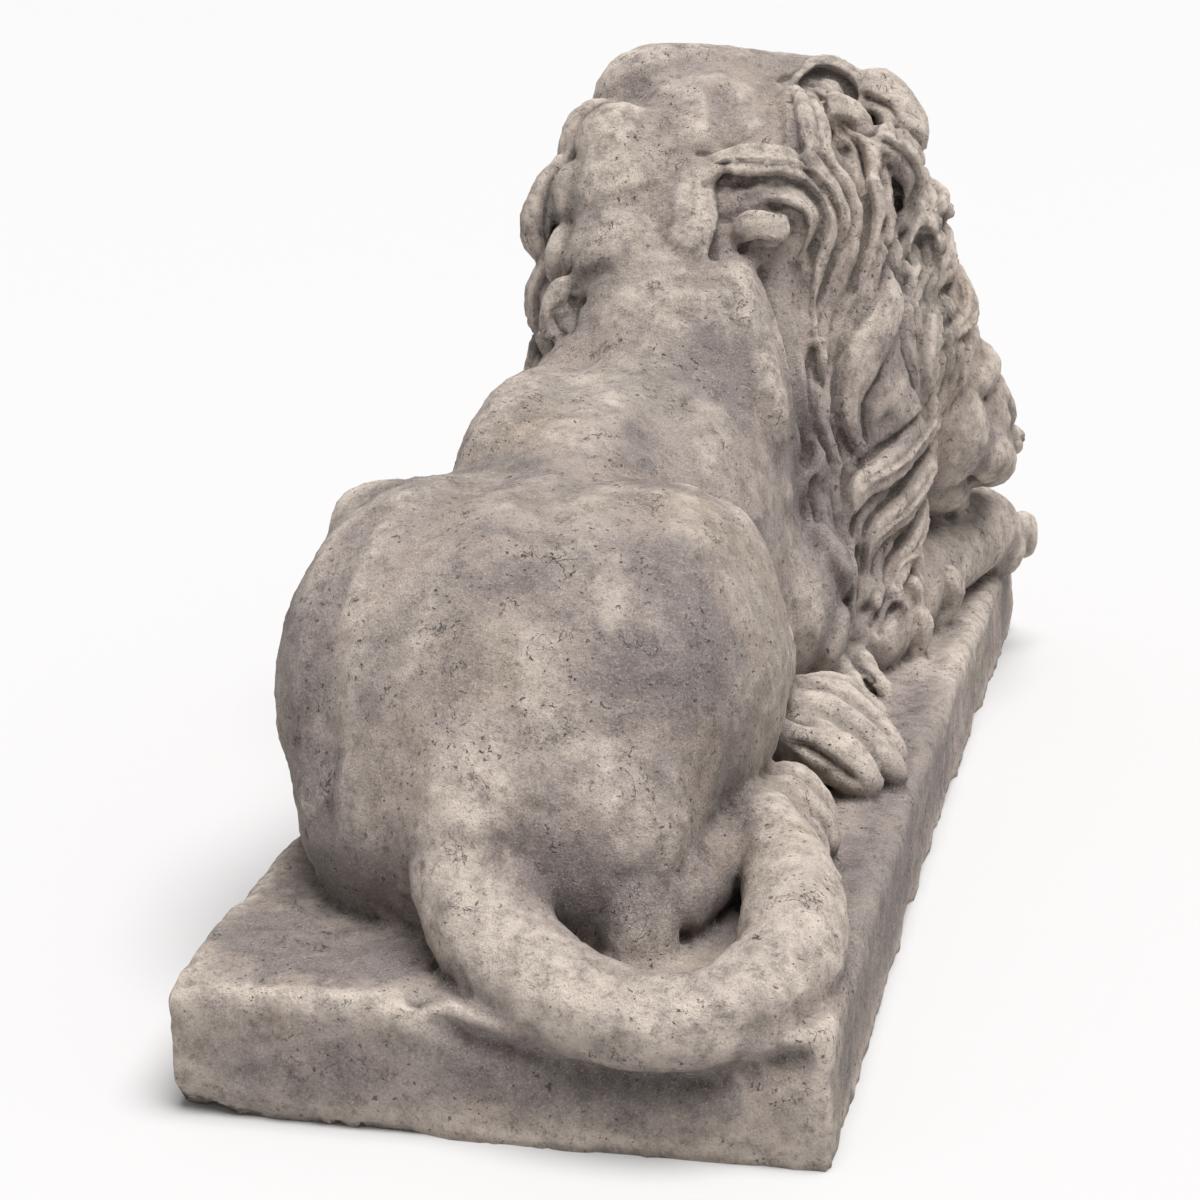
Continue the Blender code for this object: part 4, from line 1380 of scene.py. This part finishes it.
@dataclass(frozen=True)
class Studio:
    """A pale floor, soft light from above, and a camera where the photograph was taken from.

    Attributes:
        camera_at: The camera's place in metres.
        yaw: Degrees that it is turned from the block's own length.
        pitch: Degrees that it looks down.
        roll: Degrees that it is tilted.
        focal_px: Its focal length in pixels of the square image.
        surround: How bright the white surround is.
        key: How bright the soft light from above is.
        key_from: The way to that light.
        softness: How wide that light is, in degrees.
        paper: The floor's colour.
        floor_reach: How far the floor runs each way, in metres.
    """

    camera_at: Place = (-0.394, 1.940, 0.749)
    yaw: float = -13.2
    pitch: float = 16.0
    roll: float = -1.15
    focal_px: float = 2600
    surround: float = 0.40
    key: float = 5.0
    key_from: Place = (-0.24, 0.16, 1.0)
    softness: float = 42
    paper: str = "#bdbcbc"
    floor_reach: float = 120

    def build(self) -> None:
        """Makes the camera, the floor and the lights."""
        self.camera()
        self.floor()
        self.lights()

    def camera(self) -> None:
        """Makes the camera and makes it the scene's own."""
        yaw, pitch, roll = (math.radians(angle) for angle in (self.yaw, self.pitch, self.roll))
        ahead = Vector((-math.sin(yaw) * math.cos(pitch), -math.cos(yaw) * math.cos(pitch), -math.sin(pitch)))
        level = Vector((-math.cos(yaw), math.sin(yaw), 0))
        upright = level.cross(ahead)
        right = level * math.cos(roll) + upright * math.sin(roll)
        up = upright * math.cos(roll) - level * math.sin(roll)
        lens = bpy.data.cameras.new("photo_view")
        lens.sensor_width = 36
        lens.lens = self.focal_px / IMAGE_SIDE * lens.sensor_width
        seen = bpy.data.objects.new("photo_view", lens)
        turned = Matrix((right, up, -ahead)).transposed().to_4x4()
        seen.matrix_world = Matrix.Translation(self.camera_at) @ turned
        bpy.context.scene.collection.objects.link(seen)
        bpy.context.scene.camera = seen

    def floor(self) -> None:
        """Makes a wide pale floor."""
        ground = bmesh.new()
        bmesh.ops.create_grid(ground, x_segments=1, y_segments=1, size=self.floor_reach)
        mesh = bpy.data.meshes.new("floor")
        ground.to_mesh(mesh)
        ground.free()
        floor = bpy.data.objects.new("floor", mesh)
        bpy.context.scene.collection.objects.link(floor)
        cover = bpy.data.materials.new("pale_floor")
        cover.use_nodes = True
        shader = cover.node_tree.nodes["Principled BSDF"]
        shader.inputs["Base Color"].default_value = linear(self.paper)
        shader.inputs["Roughness"].default_value = 0.9
        mesh.materials.append(cover)

    def lights(self) -> None:
        """Makes a white surround and a broad soft light from almost straight above."""
        world = bpy.data.worlds.new("studio")
        world.use_nodes = True
        surround = world.node_tree.nodes["Background"]
        surround.inputs["Color"].default_value = (1, 1, 1, 1)
        surround.inputs["Strength"].default_value = self.surround
        bpy.context.scene.world = world
        light = bpy.data.lights.new("key", "SUN")
        light.energy = self.key
        light.angle = math.radians(self.softness)
        lamp = bpy.data.objects.new("key", light)
        lamp.matrix_world = (-Vector(self.key_from)).to_track_quat("-Z", "Y").to_matrix().to_4x4()
        bpy.context.scene.collection.objects.link(lamp)
        bpy.context.scene.view_settings.view_transform = "Standard"


def main() -> None:
    logging.basicConfig(level=logging.INFO, format="%(message)s")
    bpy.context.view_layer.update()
    Studio().build()
    stone = Statue(Grade.FINE).build()
    stone.data.materials.clear()
    stone.data.materials.append(CastStone().material())
    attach(stone, "root")
    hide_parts(NODE)
    LOG.info("%s: %d faces", stone.name, len(stone.data.polygons))


if __name__ == "__main__":
    main()
